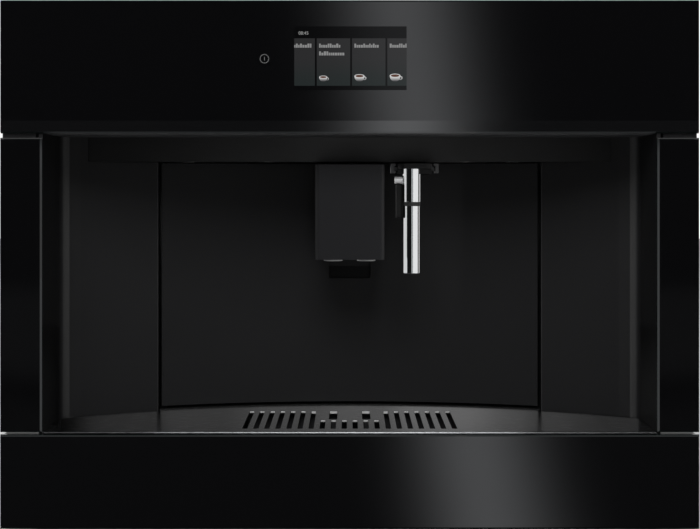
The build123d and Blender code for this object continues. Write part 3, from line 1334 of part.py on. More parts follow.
def power_inlet():
    """The mains socket with its three pins, and the housing of the rocker switch."""
    rim = block(
        (INLET_X[0] - INLET_RIM, INLET_X[1] + INLET_RIM),
        (CASE_REAR, DEPTH),
        (INLET_Z[0] - INLET_RIM, INLET_Z[1] + INLET_RIM),
    )
    cavity = block(
        (INLET_X[0] + INLET_WALL, INLET_X[1] - INLET_WALL),
        (CASE_REAR - INLET_LENGTH + INLET_WALL, DEPTH + 1),
        (INLET_Z[0] + INLET_WALL, INLET_Z[1] - INLET_WALL),
    )
    socket = inlet_body() + rim - cavity
    middle = sum(INLET_X) / 2
    half_x, half_z = INLET_PIN_HALF
    pin_d = (CASE_REAR - INLET_LENGTH, CASE_REAR - INLET_WALL)
    for place in (-1, 0, 1):
        x = middle + place * INLET_PIN_SPACING
        z = sum(INLET_Z) / 2 + (INLET_PIN_SHIFT[0] if place else INLET_PIN_SHIFT[1])
        socket += block((x - half_x, x + half_x), pin_d, (z - half_z, z + half_z))
    housing = switch_body()
    clear = SWITCH_HALF_Z + 3 * EASE
    housing -= block(
        (SWITCH_X - SWITCH_HALF_X - EASE, SWITCH_X + SWITCH_HALF_X + EASE),
        (CASE_REAR - INLET_LENGTH / 2 + SWITCH_FLOOR, CASE_REAR + 1),
        (SWITCH_Z - clear, SWITCH_Z + clear),
    )
    pin_half = SWITCH_HALF_X + TRUNNION + EASE
    housing -= rod_x(
        (SWITCH_X - pin_half, SWITCH_X + pin_half), SWITCH_PIVOT_D, SWITCH_Z, TRUNNION_RADIUS + RUN
    )
    return group(socket, housing)


def main_switch():
    half_d = SWITCH_THICKNESS / 2
    rocker = Box(2 * SWITCH_HALF_X, 2 * half_d, 2 * SWITCH_HALF_Z)
    rocker = fillet(rocker.edges().filter_by(Axis.X), SWITCH_EDGE_ROUND)
    rocker += Rot(0, 90, 0) * Cylinder(TRUNNION_RADIUS, 2 * (SWITCH_HALF_X + TRUNNION))
    return Pos(SWITCH_X, SWITCH_PIVOT_D - DEPTH / 2, SWITCH_Z) * Rot(SWITCH_TILT, 0, 0) * rocker


def both_sides(shape):
    return group(shape, mirrored(shape))


PARTS = {
    "cabinet_rails": both_sides(cabinet_rail()),
    "middle_rails": both_sides(middle_rail()),
    "rail_balls": rail_balls(),
    "machine_rails": both_sides(machine_rail()),
    "base_plate": base_plate(),
    "side_panels": both_sides(side_panel()),
    "rear_panel": rear_panel(),
    "top_cover": top_cover(),
    "case_screws": case_screws(),
    "control_panel_glass": control_panel_glass(),
    "control_panel_frame": control_panel_frame(),
    "display_module": display_space(0),
    "pillar_glass": both_sides(
        bevelled_glass((CHEEK_X, WIDTH / 2), (LOWER_TOP + PILLAR_BOTTOM_GAP, CEILING - PILLAR_TOP_GAP))
    ),
    "pillar_frame_right": pillar_frame(),
    "pillar_frame_left": mirrored(pillar_frame()),
    "lower_panel_glass": bevelled_glass(span(WIDTH / 2), (FRONT_BOTTOM, LOWER_TOP)),
    "lower_panel_frame": lower_panel_frame(),
    "recess_ceiling": recess_ceiling(),
    "recess_wing_right": recess_wing(),
    "recess_wing_left": mirrored(recess_wing()),
    "light_bar": light_bar(),
    "light_lenses": light_lenses(),
    "recess_floor": recess_floor(),
    "drip_tray_plate": drip_tray_plate(),
    "drip_tray_basin": drip_tray_basin(),
    "tray_float": tray_float(),
    "service_door": service_door(),
    "door_liner": door_liner(),
    "door_hinge_pins": door_hinge_pins(),
    "water_nozzle": water_nozzle(),
    "spout_cover": spout_cover(),
    "spout_carriage": spout_carriage(),
    "spout_outlets": spout_outlets(),
    "water_spout_head": water_spout_head(),
    "water_tube_sleeve": water_tube_sleeve(),
    "tube_seal_ring": tube_seal_ring(),
    "water_tube": water_tube(),
    "lever_pin": lever_pin(),
    "release_lever": release_lever(),
    "release_button_right": release_button(),
    "release_button_left": opposite_button(),
    "water_tank": water_tank(),
    "tank_lid": tank_lid(),
    "tank_socket": tank_socket(),
    "water_pump": water_pump(),
    "thermoblock": thermoblock(),
    "water_hoses": water_hoses(),
    "bean_hopper": bean_hopper(),
    "bean_lid": bean_lid(),
    "grinder_housing": grinder_housing(),
    "grinder_burr": grinder_burr(),
    "grind_knob": grind_knob(),
    "infuser_frame": infuser_frame(),
    "brew_carriage": brew_carriage(),
    "brew_spindle": brew_spindle(),
    "brew_motor": brew_motor(),
    "grounds_container": grounds_container(),
    "control_board": control_board(),
    "power_inlet": power_inlet(),
    "main_switch": main_switch(),
}

os.makedirs("parts", exist_ok=True)
for name, shape in PARTS.items():
    export_step(shape, f"parts/{name}.step")
print(len(PARTS), "sub-parts written")
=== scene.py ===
# %% [markdown]
# # A built-in coffee machine
#
# The machine sits in a kitchen cabinet and shows only its front: four panes of black glass round a recess
# with a coffee spout, a hot-water spout and a drip tray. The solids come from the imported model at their
# real size, so this file never moves them. It gives every piece its finish, adds the small things that a
# solid leaves out, and sets up the studio. Lengths are written in millimetres and turned into Blender's
# metres where they meet it.

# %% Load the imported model
import math
import random

import bpy
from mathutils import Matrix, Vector


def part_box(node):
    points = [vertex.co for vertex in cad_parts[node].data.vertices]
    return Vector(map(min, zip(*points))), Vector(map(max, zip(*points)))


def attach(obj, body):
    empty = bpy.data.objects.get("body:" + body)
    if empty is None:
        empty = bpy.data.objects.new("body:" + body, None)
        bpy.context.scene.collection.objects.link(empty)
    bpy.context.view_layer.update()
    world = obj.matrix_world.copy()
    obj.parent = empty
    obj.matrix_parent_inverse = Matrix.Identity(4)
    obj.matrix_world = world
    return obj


MM = 0.001
X, Y, Z = 0, 1, 2
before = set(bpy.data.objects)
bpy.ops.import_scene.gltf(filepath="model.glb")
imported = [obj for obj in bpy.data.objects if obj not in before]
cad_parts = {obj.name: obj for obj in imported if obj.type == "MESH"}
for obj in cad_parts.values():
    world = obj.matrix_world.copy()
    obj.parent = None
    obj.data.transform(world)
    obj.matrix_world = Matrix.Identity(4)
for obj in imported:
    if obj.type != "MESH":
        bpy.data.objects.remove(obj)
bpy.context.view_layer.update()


def limits(node, axis):
    """Lowest and highest place of a node along one axis, in millimetres."""
    low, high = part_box(node)
    return low[axis] / MM, high[axis] / MM


GLASS_FACE = limits("control_panel_glass", Y)[0]
print("the glass face lies at y =", round(GLASS_FACE, 2), "mm")

# %% [markdown]
# ## Shader maths as plain expressions
#
# A finish is a formula over places: where grain lies, how far an edge is rubbed. Linking Math nodes by hand
# hides that formula. So `Value` wraps one output socket and lets Python's operators add the nodes: `1 -
# mask * 0.3` reads as it works. Every other node comes from `Finish.node`, which sets the node's own
# settings first and then its sockets. Constants stay on the shader's sockets, and only what really varies
# is linked.


# %% Values and finishes
class Value:
    """What one output socket gives. Python's operators on it add Math nodes."""

    def __init__(self, finish, socket):
        self.finish = finish
        self.socket = socket

    def maths(self, operation, *others):
        return self.finish.node("Math", {"operation": operation}, dict(enumerate((self, *others))))

    def __add__(self, other):
        return self.maths("ADD", other)

    def __sub__(self, other):
        return self.maths("SUBTRACT", other)

    def __rsub__(self, other):
        return self * -1 + other

    def __mul__(self, other):
        return self.maths("MULTIPLY", other)

    def __truediv__(self, other):
        return self.maths("DIVIDE", other)

    def __abs__(self):
        return self.maths("ABSOLUTE")

    def __gt__(self, other):
        return self.maths("GREATER_THAN", other)

    def __lt__(self, other):
        return self.maths("LESS_THAN", other)

    def step(self, low, high):
        """0 below low and 1 above high, with a smooth rise between them."""
        settings = {"interpolation_type": "SMOOTHSTEP"}
        sockets = {"Value": self, "From Min": low, "From Max": high}
        return self.finish.node("MapRange", settings, sockets)


class Finish:
    """One material while it is made."""

    def __init__(self, name, colour=(0.5, 0.5, 0.5), roughness=0.5, **constants):
        self.material = bpy.data.materials.new(name)
        self.material.use_nodes = True
        self.tree = self.material.node_tree
        self.shader = self.tree.nodes["Principled BSDF"]
        self.set("Base Color", colour)
        self.set("Roughness", roughness)
        for name, value in constants.items():
            self.set(name.replace("_", " "), value)

    def set(self, socket, value):
        self.join(value, self.shader.inputs[socket])

    def join(self, value, socket):
        if isinstance(value, Value):
            self.tree.links.new(value.socket, socket)
        elif isinstance(value, tuple) and len(socket.default_value) > len(value):
            socket.default_value = (*value, 1.0)
        else:
            socket.default_value = value

    def node(self, kind, settings=None, sockets=None, output=0):
        """Adds a node: its own settings first, such as an operation, then its sockets."""
        made = self.tree.nodes.new("ShaderNode" + kind)
        for name, value in (settings or {}).items():
            setattr(made, name, value)
        for name, value in (sockets or {}).items():
            self.join(value, made.inputs[name])
        return Value(self, made.outputs[output])

    def place(self, stretch=(1.0, 1.0, 1.0)):
        """The point on the piece in millimetres, optionally stretched along an axis."""
        where = self.node("TexCoord", output="Object")
        scale = tuple(1 / (MM * amount) for amount in stretch)
        return self.node("VectorMath", {"operation": "MULTIPLY"}, {0: where, 1: scale})

    def parts(self, vector):
        """The three numbers of a vector."""
        outputs = self.node("SeparateXYZ", sockets={0: vector}).socket.node.outputs
        return [Value(self, outputs[axis]) for axis in (X, Y, Z)]

    def axes(self):
        """The x, y and z of the point on the piece, in millimetres."""
        return self.parts(self.place())

    def facing(self):
        """The x, y and z of the surface's true normal, for finishes that differ between faces."""
        return self.parts(self.node("NewGeometry", output="True Normal"))

    def noise(self, size, detail=2.0, stretch=(1.0, 1.0, 1.0)):
        """Soft random values from 0 to 1 with features about size millimetres wide."""
        sockets = {"Vector": self.place(stretch), "Scale": 1 / size, "Detail": detail}
        return self.node("TexNoise", sockets=sockets)

    def cells(self, size):
        """A random value for each cell of a crystal-like pattern."""
        sockets = {"Vector": self.place(), "Scale": 1 / size}
        colour = self.node("TexVoronoi", sockets=sockets, output="Color")
        return self.node("SeparateColor", sockets={0: colour})

    def mix(self, share, one, other):
        """One colour that turns into another as share goes from 0 to 1."""
        return self.node("Mix", {"data_type": "RGBA"}, {0: share, 6: one, 7: other}, output=2)

    def rounded(self, radius):
        """A normal that rounds sharp edges by a radius in millimetres, so that they catch light."""
        return self.node("Bevel", {"samples": 4}, {"Radius": radius * MM})

    def bump(self, height, depth, edge=None):
        """Relief: height runs from 0 to 1, and depth is in millimetres."""
        sockets = {"Height": height, "Distance": depth * MM, "Strength": 1.0}
        if edge:
            sockets["Normal"] = edge
        self.set("Normal", self.node("Bump", sockets=sockets))


def grey(value):
    return (value, value, value)


def dress(finish, *nodes):
    """Gives CAD nodes their finish, through the material slots of their objects."""
    for node in nodes:
        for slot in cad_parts[node].material_slots:
            slot.material = finish.material
    print(finish.material.name, "on", len(nodes), "node" + "s" * (len(nodes) != 1))


# %% [markdown]
# ## Black glass
#
# The front panes are toughened glass, printed black on the back. Two things make it look right: a base that
# is almost black, and a surface so smooth that it mirrors the room at four per cent. Faint wipe marks
# change the roughness a little, because a perfectly even mirror looks like plastic. Cut edges show the
# glass's own green, and the top edge of each pillar carries a painted highlight, a paler grey band. The
# panes are made of flat facets, so the finish takes the true normal and no facet bends light into its
# neighbour.


# %% The glass panes
GLASS_BLACK = (0.0024, 0.0024, 0.0027)
GLASS_GREEN = (0.004, 0.009, 0.008)
# painted highlight: a paler grey band along the top edge of each pillar's glass
TOP_EDGE_HIGHLIGHT_GREY = grey(0.04)
TOP_EDGE_HIGHLIGHT_HEIGHT = 1.0  # mm that the painted highlight on a pillar's top edge is high


def black_glass(name, highlight_above=None):
    glass = Finish(name, roughness=0.04, IOR=1.5)
    edge = (abs(glass.facing()[Y]) * -1 + 1).step(0.1, 0.6)
    colour = glass.mix(edge, GLASS_BLACK, GLASS_GREEN)
    if highlight_above:
        # a painted highlight along the pillar's top edge
        ground = glass.axes()[Z].step(highlight_above - 0.2, highlight_above + 0.2)
        colour = glass.mix(ground, colour, TOP_EDGE_HIGHLIGHT_GREY)
    glass.set("Base Color", colour)
    wiped = glass.noise(70, detail=3, stretch=(2.0, 1.0, 0.6))
    glass.set("Roughness", wiped.step(0.35, 0.75) * 0.03 + 0.025)
    glass.set("Normal", glass.node("NewGeometry", output="True Normal"))
    return glass


pillar_top = limits("pillar_glass", Z)[1]
dress(black_glass("black_glass"), "control_panel_glass", "lower_panel_glass")
dress(black_glass("pillar_black_glass", highlight_above=pillar_top - TOP_EDGE_HIGHLIGHT_HEIGHT), "pillar_glass")

# %% [markdown]
# ## Painted sheet in the recess
#
# The curved door, the two wings and the ceiling are steel sheet with satin black powder paint. The
# ceiling gets a far paler grey than the door, painted light on its underside, and the wings' rounded
# corners get a painted highlight where they turn sideways. Powder paint melts into a faint orange-peel:
# waves a millimetre or two wide and some microns deep. A bump of that size breaks up the reflections just
# enough. Edges of real sheet are never razor-sharp, and a Bevel node rounds them in the shading.


# %% Satin black paint
PEEL = 0.006  # mm that the paint's waves are deep
CORNER_HIGHLIGHT_START = (0.44, 0.5)  # how far sideways a rounded corner faces where its painted highlight starts
CORNER_HIGHLIGHT_END = (0.75, 0.9)  # and where that painted highlight ends again
MATT = {"Specular_IOR_Level": 0.2}
DOOR_SHADE = 0.0105


def satin_paint(name, shade, roughness, corner=None):
    paint = Finish(name, roughness=roughness, **MATT)
    cloud = paint.noise(40, detail=2)
    tone = cloud * 0.2 + 0.9
    colour = (shade, shade, shade * 1.04)
    if corner:
        # a painted highlight: rounded corners are painted paler where they face sideways
        sideways = abs(paint.facing()[X])
        highlight_share = sideways.step(*CORNER_HIGHLIGHT_START) - sideways.step(*CORNER_HIGHLIGHT_END)
        colour = paint.mix(highlight_share, colour, grey(corner))
    paint.set("Base Color", paint.mix(tone, grey(0.0), colour))
    paint.set("Roughness", cloud * 0.06 + (roughness - 0.03))
    paint.bump(paint.noise(1.6, detail=1), PEEL, paint.rounded(0.5))
    return paint


dress(satin_paint("door_paint", DOOR_SHADE, 0.5), "service_door")
# the wings' rounded corners get a painted highlight
dress(satin_paint("wing_paint", 0.0122, 0.45, corner=0.036), "recess_wing_left", "recess_wing_right")
# painted light: the ceiling gets a far paler grey than the door's same paint
dress(satin_paint("ceiling_paint", 0.065, 0.5), "recess_ceiling")
dress(satin_paint("pillar_paint", 0.012, 0.45), "pillar_frame_left", "pillar_frame_right")

# %% [markdown]
# ## Moulded plastics
#
# Housings, liners and levers are injection-moulded. The tool leaves a fine spark-eroded grain, about a
# third of a millimetre across, that makes black plastic look dark grey and soft. The same function serves
# for every plastic here, with its own colour, gloss and depth of grain.


# %% Moulded plastic
def moulded(name, colour, roughness, grain=0.012, size=0.35, **constants):
    plastic = Finish(name, roughness=roughness, **constants)
    mottle = plastic.noise(25, detail=2)
    dark = tuple(channel * 0.85 for channel in colour)
    plastic.set("Base Color", plastic.mix(mottle, dark, tuple(channel * 1.12 for channel in colour)))
    plastic.set("Roughness", mottle * 0.08 + (roughness - 0.04))
    plastic.bump(plastic.noise(size, detail=2), grain, plastic.rounded(0.4))
    return plastic


BLACK = (0.010, 0.010, 0.0105)
dress(moulded("frame_plastic", grey(0.006), 0.5), "control_panel_frame", "lower_panel_frame")
dress(moulded("floor_plastic", grey(0.008), 0.5), "recess_floor")
dress(moulded("liner_plastic", BLACK, 0.55), "door_liner", "infuser_frame", "grounds_container")
dress(moulded("basin_plastic", (0.02, 0.02, 0.021), 0.42), "drip_tray_basin")
dress(moulded("head_plastic", grey(0.007), 0.4, grain=0.004, **MATT), "water_spout_head")
release_buttons = ("release_button_left", "release_button_right")
dress(moulded("button_plastic", grey(0.035), 0.35, grain=0.004), *release_buttons)
dress(moulded("lever_plastic", grey(0.006), 0.45, **MATT), "release_lever")
dress(moulded("lid_plastic", (0.016, 0.016, 0.017), 0.5), "tank_lid", "bean_lid", "grind_knob")
dress(moulded("socket_plastic", (0.09, 0.095, 0.1), 0.5), "tank_socket", "water_nozzle")
dress(moulded("carriage_grey", (0.17, 0.175, 0.18), 0.48), "brew_carriage")
dress(moulded("inlet_plastic", grey(0.014), 0.5), "power_inlet", "main_switch")
dress(moulded("grinder_plastic", (0.03, 0.03, 0.032), 0.55), "grinder_housing")
dress(moulded("float_plastic", (0.5, 0.035, 0.025), 0.4), "tray_float")
dress(moulded("seal_rubber", grey(0.012), 0.62, grain=0.008), "tube_seal_ring")
dress(moulded("module_plastic", (0.01, 0.01, 0.011), 0.3), "display_module")

# %% [markdown]
# ## Two colours and painted light on one piece
#
# The slide behind the door's window is painted like the door where it closes the window, and below that
# it is bare black made far darker than black plastic: a painted shade in the window. Such a piece needs no
# second material: the height on the piece chooses between the two colours. The light bar gets painted
# light, paler towards its middle, in the same way, and the spout's cover a painted highlight where its
# corners turn sideways.


# %% Slide, light bar and spout cover
SLIDE_CHANGE = 220.3  # height in mm where the slide's painted face ends
BAR_PAINTED_LIGHT_GREYS = (0.042, 0.026, 0.010)  # painted light: the grey in the middle, beside it and at the ends
BAR_PAINTED_BRIGHT = (15, 25, 85)  # mm: the middle of the brightest painted light, and how far from there it fades and ends
BAR_PAINTED_FAINT = (25, 40, 240)  # the same for the fainter painted light round it
COVER_GREY = (0.0108, 0.0108, 0.0118)
COVER_CORNER_HIGHLIGHT = (0.018, 0.018, 0.0185)


def slide_plastic():
    """Painted like the door above a height, and below it almost black, a painted shade in the door's window.
    """
    plastic = moulded("carriage_plastic", BLACK, 0.5, grain=0.005, **MATT)
    painted = plastic.axes()[Z].step(SLIDE_CHANGE - 0.1, SLIDE_CHANGE + 0.1)
    door_grey = (DOOR_SHADE, DOOR_SHADE, 0.0109)
    # painted shade: almost black below the change, far darker than bare black plastic
    plastic.set("Base Color", plastic.mix(painted, grey(0.001), door_grey))
    return plastic


def bar_plastic():
    """Painted light: the light bar is painted palest near its middle and darker towards its ends."""
    plastic = moulded("light_bar_plastic", BLACK, 0.5, grain=0.004, **MATT)
    across = plastic.axes()[X]
    bright, faint, colour = map(grey, BAR_PAINTED_LIGHT_GREYS)
    for (middle, start, end), inside in ((BAR_PAINTED_FAINT, faint), (BAR_PAINTED_BRIGHT, bright)):
        colour = plastic.mix(abs(across - middle).step(start, end), inside, colour)
    plastic.set("Base Color", colour)
    return plastic


def cover_plastic():
    """Dark grey, with a painted highlight, a paler grey, where the rounded corners turn sideways."""
    plastic = moulded("spout_plastic", BLACK, 0.5, grain=0.005, **MATT)
    # painted highlight on the rounded corners
    corner = abs(plastic.facing()[X]).step(0.3, 0.6)
    plastic.set("Base Color", plastic.mix(corner, COVER_GREY, COVER_CORNER_HIGHLIGHT))
    return plastic


dress(slide_plastic(), "spout_carriage")
dress(bar_plastic(), "light_bar")
dress(cover_plastic(), "spout_cover")

# %% [markdown]
# ## Metals
#
# Four metals differ mostly in how they were worked. Chrome is a mirror, and on the coffee outlets a satin
# one with a painted highlight where each ring turns sideways, with two white plastic tips between them that
# are told apart by how near the middle they stand. The tray plate is dark, finely brushed steel, so its
# grain is long along x and very short across it. Its slots were punched later, and the walls that face the
# viewer are painted pale and dull as a painted highlight: near their top, and all the way down in the slots
# near the middle at the rear. They are found by the direction in which they face. The front lip is painted
# darker away from its bright middle, a painted shade. The casing is zinc-coated sheet with the crystal
# flowers that hot zinc leaves. Rails are drawn through rollers, which leaves long lines along their run.


# %% Chrome and the coffee outlets
def chrome():
    plate = Finish("chrome", (0.86, 0.87, 0.88), Metallic=1.0)
    plate.set("Roughness", plate.noise(6, detail=3) * 0.04 + 0.03)
    plate.bump(plate.noise(9, detail=1), 0.002, plate.rounded(0.35))
    return plate


TIPS_END = (4, 6)  # mm from the middle where the milk tips end and the rings begin


def outlets():
    """Satin chrome rings with a painted highlight, white, where they turn left and right, and white plastic
    tips near the middle.
    """
    plate = Finish("outlet_chrome")
    ring = abs(plate.axes()[X]).step(*TIPS_END)
    # painted highlight: the rings are painted white where they face sideways
    metal = plate.mix(abs(plate.facing()[X]).step(0.7, 0.95), grey(0.42), grey(1.0))
    plate.set("Base Color", plate.mix(ring, grey(0.75), metal))
    plate.set("Metallic", ring * 0.3)
    plate.set("Roughness", plate.noise(6, detail=3) * 0.05 + 0.18)
    return plate


dress(chrome(), "water_tube_sleeve", "water_tube")
dress(Finish("pin_steel", grey(0.7), 0.3, Metallic=0.3), "lever_pin")
dress(outlets(), "spout_outlets")

# %% Brushed tray plate
PLATE_TOP = limits("drip_tray_plate", Z)[1]
SLOT_HIGHLIGHT_DEPTH = 1.2  # mm of a slot's wall, from the top, that is painted pale as a painted highlight
CUP_SLOTS_HALF = 40  # the slots near the middle and the rear get the painted highlight all the way down
CUP_SLOTS_FROM = 80
LIP_REAR = 4  # mm behind the glass face where the front lip ends
LIP_MIDDLE = -10  # mm across of the middle of the lip's bright part
LIP_PAINTED_SHADE = (145, 170)  # and how far from there the lip is painted darker, a painted shade


def brushed_tray():
    steel = Finish("tray_steel")
    lines = steel.noise(0.25, detail=3, stretch=(90.0, 1.0, 1.0))
    across, front, up = steel.facing()
    x, y, z = steel.axes()
    cut = (abs(up) < 0.5) * (y > GLASS_FACE + LIP_REAR)
    full_slot_highlight = (abs(x) < CUP_SLOTS_HALF) * (y > GLASS_FACE + CUP_SLOTS_FROM)
    # painted highlight: walls that face the viewer are painted pale and dull
    slot_highlight = full_slot_highlight + (z > PLATE_TOP - SLOT_HIGHLIGHT_DEPTH)
    wall = steel.mix(((front < -0.6) * slot_highlight).step(0.4, 0.6), grey(0.04), grey(0.6))
    brushed = steel.mix(lines, (0.46, 0.46, 0.465), (0.6, 0.6, 0.605))
    # painted shade: the lip is painted darker away from its bright middle
    painted_lip_shade = (y < GLASS_FACE + LIP_REAR) * abs(x - LIP_MIDDLE).step(*LIP_PAINTED_SHADE)
    steel.set("Base Color", steel.mix(painted_lip_shade, steel.mix(cut, brushed, wall), grey(0.24)))
    steel.set("Metallic", cut * -0.75 + 1)
    steel.set("Roughness", lines * 0.08 + cut * 0.25 + 0.22)
    steel.bump(lines, 0.002, steel.rounded(0.9))
    return steel


dress(brushed_tray(), "drip_tray_plate")

# %% Zinc sheet and drawn steel
ALONG_X = (60.0, 1.0, 1.0)
ALONG_Y = (1.0, 60.0, 1.0)
ALONG_Z = (1.0, 1.0, 60.0)


def zinc_sheet():
    zinc = Finish("zinc_case", Metallic=1.0)
    flower = zinc.cells(9)
    tone = flower * 0.25 + zinc.noise(60, detail=3) * 0.3
    zinc.set("Base Color", zinc.mix(tone, (0.36, 0.37, 0.385), (0.62, 0.63, 0.645)))
    zinc.set("Roughness", flower * 0.16 + 0.32)
    zinc.bump(zinc.noise(1.2, detail=2), 0.004, zinc.rounded(0.4))
    return zinc


def drawn_steel(name, colour, roughness, stretch, edge=0.3):
    steel = Finish(name, Metallic=1.0)
    lines = steel.noise(0.3, detail=3, stretch=stretch)
    bright = tuple(channel * 1.25 for channel in colour)
    steel.set("Base Color", steel.mix(lines, colour, bright))
    steel.set("Roughness", lines * 0.12 + (roughness - 0.06))
    steel.bump(lines, 0.003, steel.rounded(edge))
    return steel


rails = ("cabinet_rails", "middle_rails", "machine_rails")
dress(zinc_sheet(), "base_plate", "side_panels", "rear_panel", "top_cover")
dress(drawn_steel("rail_zinc", (0.5, 0.5, 0.51), 0.34, ALONG_Y), *rails)
dress(drawn_steel("ball_steel", grey(0.7), 0.12, ALONG_Y), "rail_balls")
dress(drawn_steel("screw_steel", (0.55, 0.55, 0.56), 0.3, ALONG_X, edge=0.2), "case_screws")
dress(drawn_steel("spindle_steel", (0.6, 0.6, 0.61), 0.25, ALONG_Z), "brew_spindle")
dress(drawn_steel("blackened_steel", grey(0.02), 0.5, ALONG_Z), "door_hinge_pins")
dress(drawn_steel("burr_steel", (0.52, 0.52, 0.54), 0.3, ALONG_Z), "grinder_burr")
dress(drawn_steel("motor_steel", (0.35, 0.35, 0.36), 0.38, ALONG_X), "brew_motor")

# %% [markdown]
# ## Cast, blown and clear pieces
#
# The heater is sand-cast aluminium: pale, dull and lightly pitted. The tank, hopper and lenses are clear
# plastics. They could use refraction, but thin walls refract very little, so a share of plain transparency
# with a glossy skin on top looks the same and stays quick.


# %% Cast aluminium and clear plastics
def cast_aluminium():
    cast = Finish("cast_aluminium", Metallic=1.0)
    skin = cast.noise(2.2, detail=4)
    cast.set("Base Color", cast.mix(skin, (0.4, 0.41, 0.42), (0.62, 0.63, 0.64)))
    cast.set("Roughness", skin * 0.2 + 0.4)
    cast.bump(skin, 0.05, cast.rounded(0.8))
    return cast


def clear_plastic(name, colour, alpha, roughness):
    clear = Finish(name, colour, roughness)
    haze = clear.noise(45, detail=2)
    clear.set("Alpha", haze * 0.08 + (alpha - 0.04))
    clear.set("Roughness", haze * 0.06 + roughness)
    clear.bump(haze, 0.02, clear.rounded(0.6))
    return clear


dress(cast_aluminium(), "thermoblock")
dress(clear_plastic("tank_clear", (0.32, 0.36, 0.38), 0.34, 0.06), "water_tank")
dress(clear_plastic("hopper_smoke", (0.05, 0.045, 0.04), 0.6, 0.08), "bean_hopper")
dress(clear_plastic("lens_clear", (0.7, 0.71, 0.73), 0.7, 0.2), "light_lenses")

# %% Hoses, pump and control board
YOKE_HALF = 16.5  # mm of the pump, to each side of its middle, that the yoke covers
BOARD_DEPTH = 5.2  # mm from the board's feet to just off its green face
BLACK_FROM = 243  # mm: components are yellow below this height and black above it
PALE_FROM = 310  # and pale above this one


def pump_finish():
    """A black pump body with a bare metal yoke round its middle."""
    pump = Finish("pump_body", roughness=0.45)
    middle = sum(limits("water_pump", Y)) / 2
    yoke = abs(pump.axes()[Y] - middle) < YOKE_HALF
    pump.set("Base Color", pump.mix(yoke, (0.02, 0.02, 0.022), (0.42, 0.43, 0.44)))
    pump.set("Metallic", yoke)
    pump.bump(pump.noise(0.6, detail=2), 0.02, pump.rounded(0.5))
    return pump


def circuit_board():
    """Green board with copper runs; what stands on it is told apart by its distance off the board."""
    board = Finish("circuit_board", roughness=0.35)
    across, depth, up = board.axes()
    face = limits("control_board", X)[0] + BOARD_DEPTH
    runs = board.node("TexBrick", {"offset": 0.37}, {"Vector": board.place(), "Scale": 0.22}, output=1)
    ground = board.mix(runs, (0.006, 0.07, 0.028), (0.02, 0.16, 0.06))
    upper = board.mix(up.step(PALE_FROM, PALE_FROM + 1), (0.012, 0.012, 0.013), (0.75, 0.73, 0.66))
    components = board.mix(up.step(BLACK_FROM, BLACK_FROM + 1), (0.55, 0.42, 0.06), upper)
    standing = (across - face).step(0.2, 0.6)
    board.set("Base Color", board.mix(standing, ground, components))
    board.bump(board.noise(0.5, detail=1), 0.01, board.rounded(0.3))
    return board


silicone = moulded("hose_silicone", (0.62, 0.63, 0.62), 0.4, grain=0.004, Subsurface_Weight=0.15)
dress(silicone, "water_hoses")
dress(pump_finish(), "water_pump")
dress(circuit_board(), "control_board")

# %% [markdown]
# ## Pieces made in Blender
#
# Small flat things, such as the pictures on the display, are easier to build from outlines than from
# primitives. `plates` turns outlines of points into thin closed solids that face the viewer, and
# `new_piece` names a mesh, gives it its finish and lets it ride on its body.


# %% Helpers for new pieces
def new_piece(name, points, faces, finish, body, slot):
    mesh = bpy.data.meshes.new(name)
    mesh.from_pydata([Vector(point) * MM for point in points], [], faces)
    mesh.validate()
    mesh.materials.append(finish.material)
    piece = bpy.data.objects.new(name, mesh)
    bpy.context.scene.collection.objects.link(piece)
    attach(piece, body)
    print("made", name, "with", len(faces), "faces, on", body)


def plates(outlines, rear, front):
    """Closed thin solids from outlines in x and z, between two places in y."""
    points, faces = [], []
    for outline in outlines:
        start, count = len(points), len(outline)
        points += [(x, front, z) for x, z in outline] + [(x, rear, z) for x, z in outline]
        faces.append([start + index for index in range(count)])
        faces.append([start + 2 * count - 1 - index for index in range(count)])
        for index in range(count):
            here, after = start + index, start + (index + 1) % count
            faces.append([after, here, here + count, after + count])
    return points, faces


def rectangle(left, right, bottom, top):
    return [(left, bottom), (right, bottom), (right, top), (left, top)]


def oval(x, z, half_width, half_height, start=0.0, turn=360.0, steps=24):
    """Points round an oval, or round a part of it."""
    count = steps if turn == 360.0 else steps + 1
    angles = [math.radians(start + turn * index / steps) for index in range(count)]
    return [(x + half_width * math.cos(a), z + half_height * math.sin(a)) for a in angles]


# %% [markdown]
# ## The touch display
#
# Behind the control pane a 4.3-inch display shows a row of drinks to swipe through: a dark status bar with
# the time, four tiles, two of them cut off by the display's edges, a line or two of words on each and a
# small cup. The words here can't be read: each letter is a plain block, some low and some tall. A lit
# display gives light of its own, so each colour is an emission. The glass over it reflects less than the
# rest, so its specular level is low. Layers stand 0.02 mm apart, like prints on a film.

# %% Sizes of the display's picture
DISPLAY_X = (-47.1, 48.4)
DISPLAY_Z = (378.3, 432.5)
LAYER = 0.02
TILE_Z = (382.0, 422.3)
TILE_FADE = 26.0  # mm of a tile's foot over which it turns cooler
TILE_PITCH = 30.0
TILE_WIDTH = 28.4
FIRST_TILE = -58.0
WORD_INSET = 2.0
LETTER_HEIGHTS = (2.3, 3.4)
LETTER_WIDTHS = (1.1, 1.9)
LETTER_GAP = 0.4
TALL_LETTERS = 0.3  # the share of them
WORD_FEET = (414.4, 407.8)
WORD_LENGTHS = ((23.3,), (18.0, 20.9), (20.8,), (16.0,))
CUP_FOOT = 385.3
CUP_FADE = 4.0
CUP_HALF = (0.0, 3.5, 4.3, 4.6)  # half the width of each tile's cup; the first tile's is cut off


def layer(level):
    return GLASS_FACE - level * LAYER


def lit(name, colour):
    """A display colour, or a function that makes one: it glows at the strength of the colour itself."""
    glow = Finish(name, grey(0.001), 0.05, Specular_IOR_Level=0.11, Emission_Strength=1.0)
    glow.set("Emission Color", colour(glow) if callable(colour) else colour)
    return glow


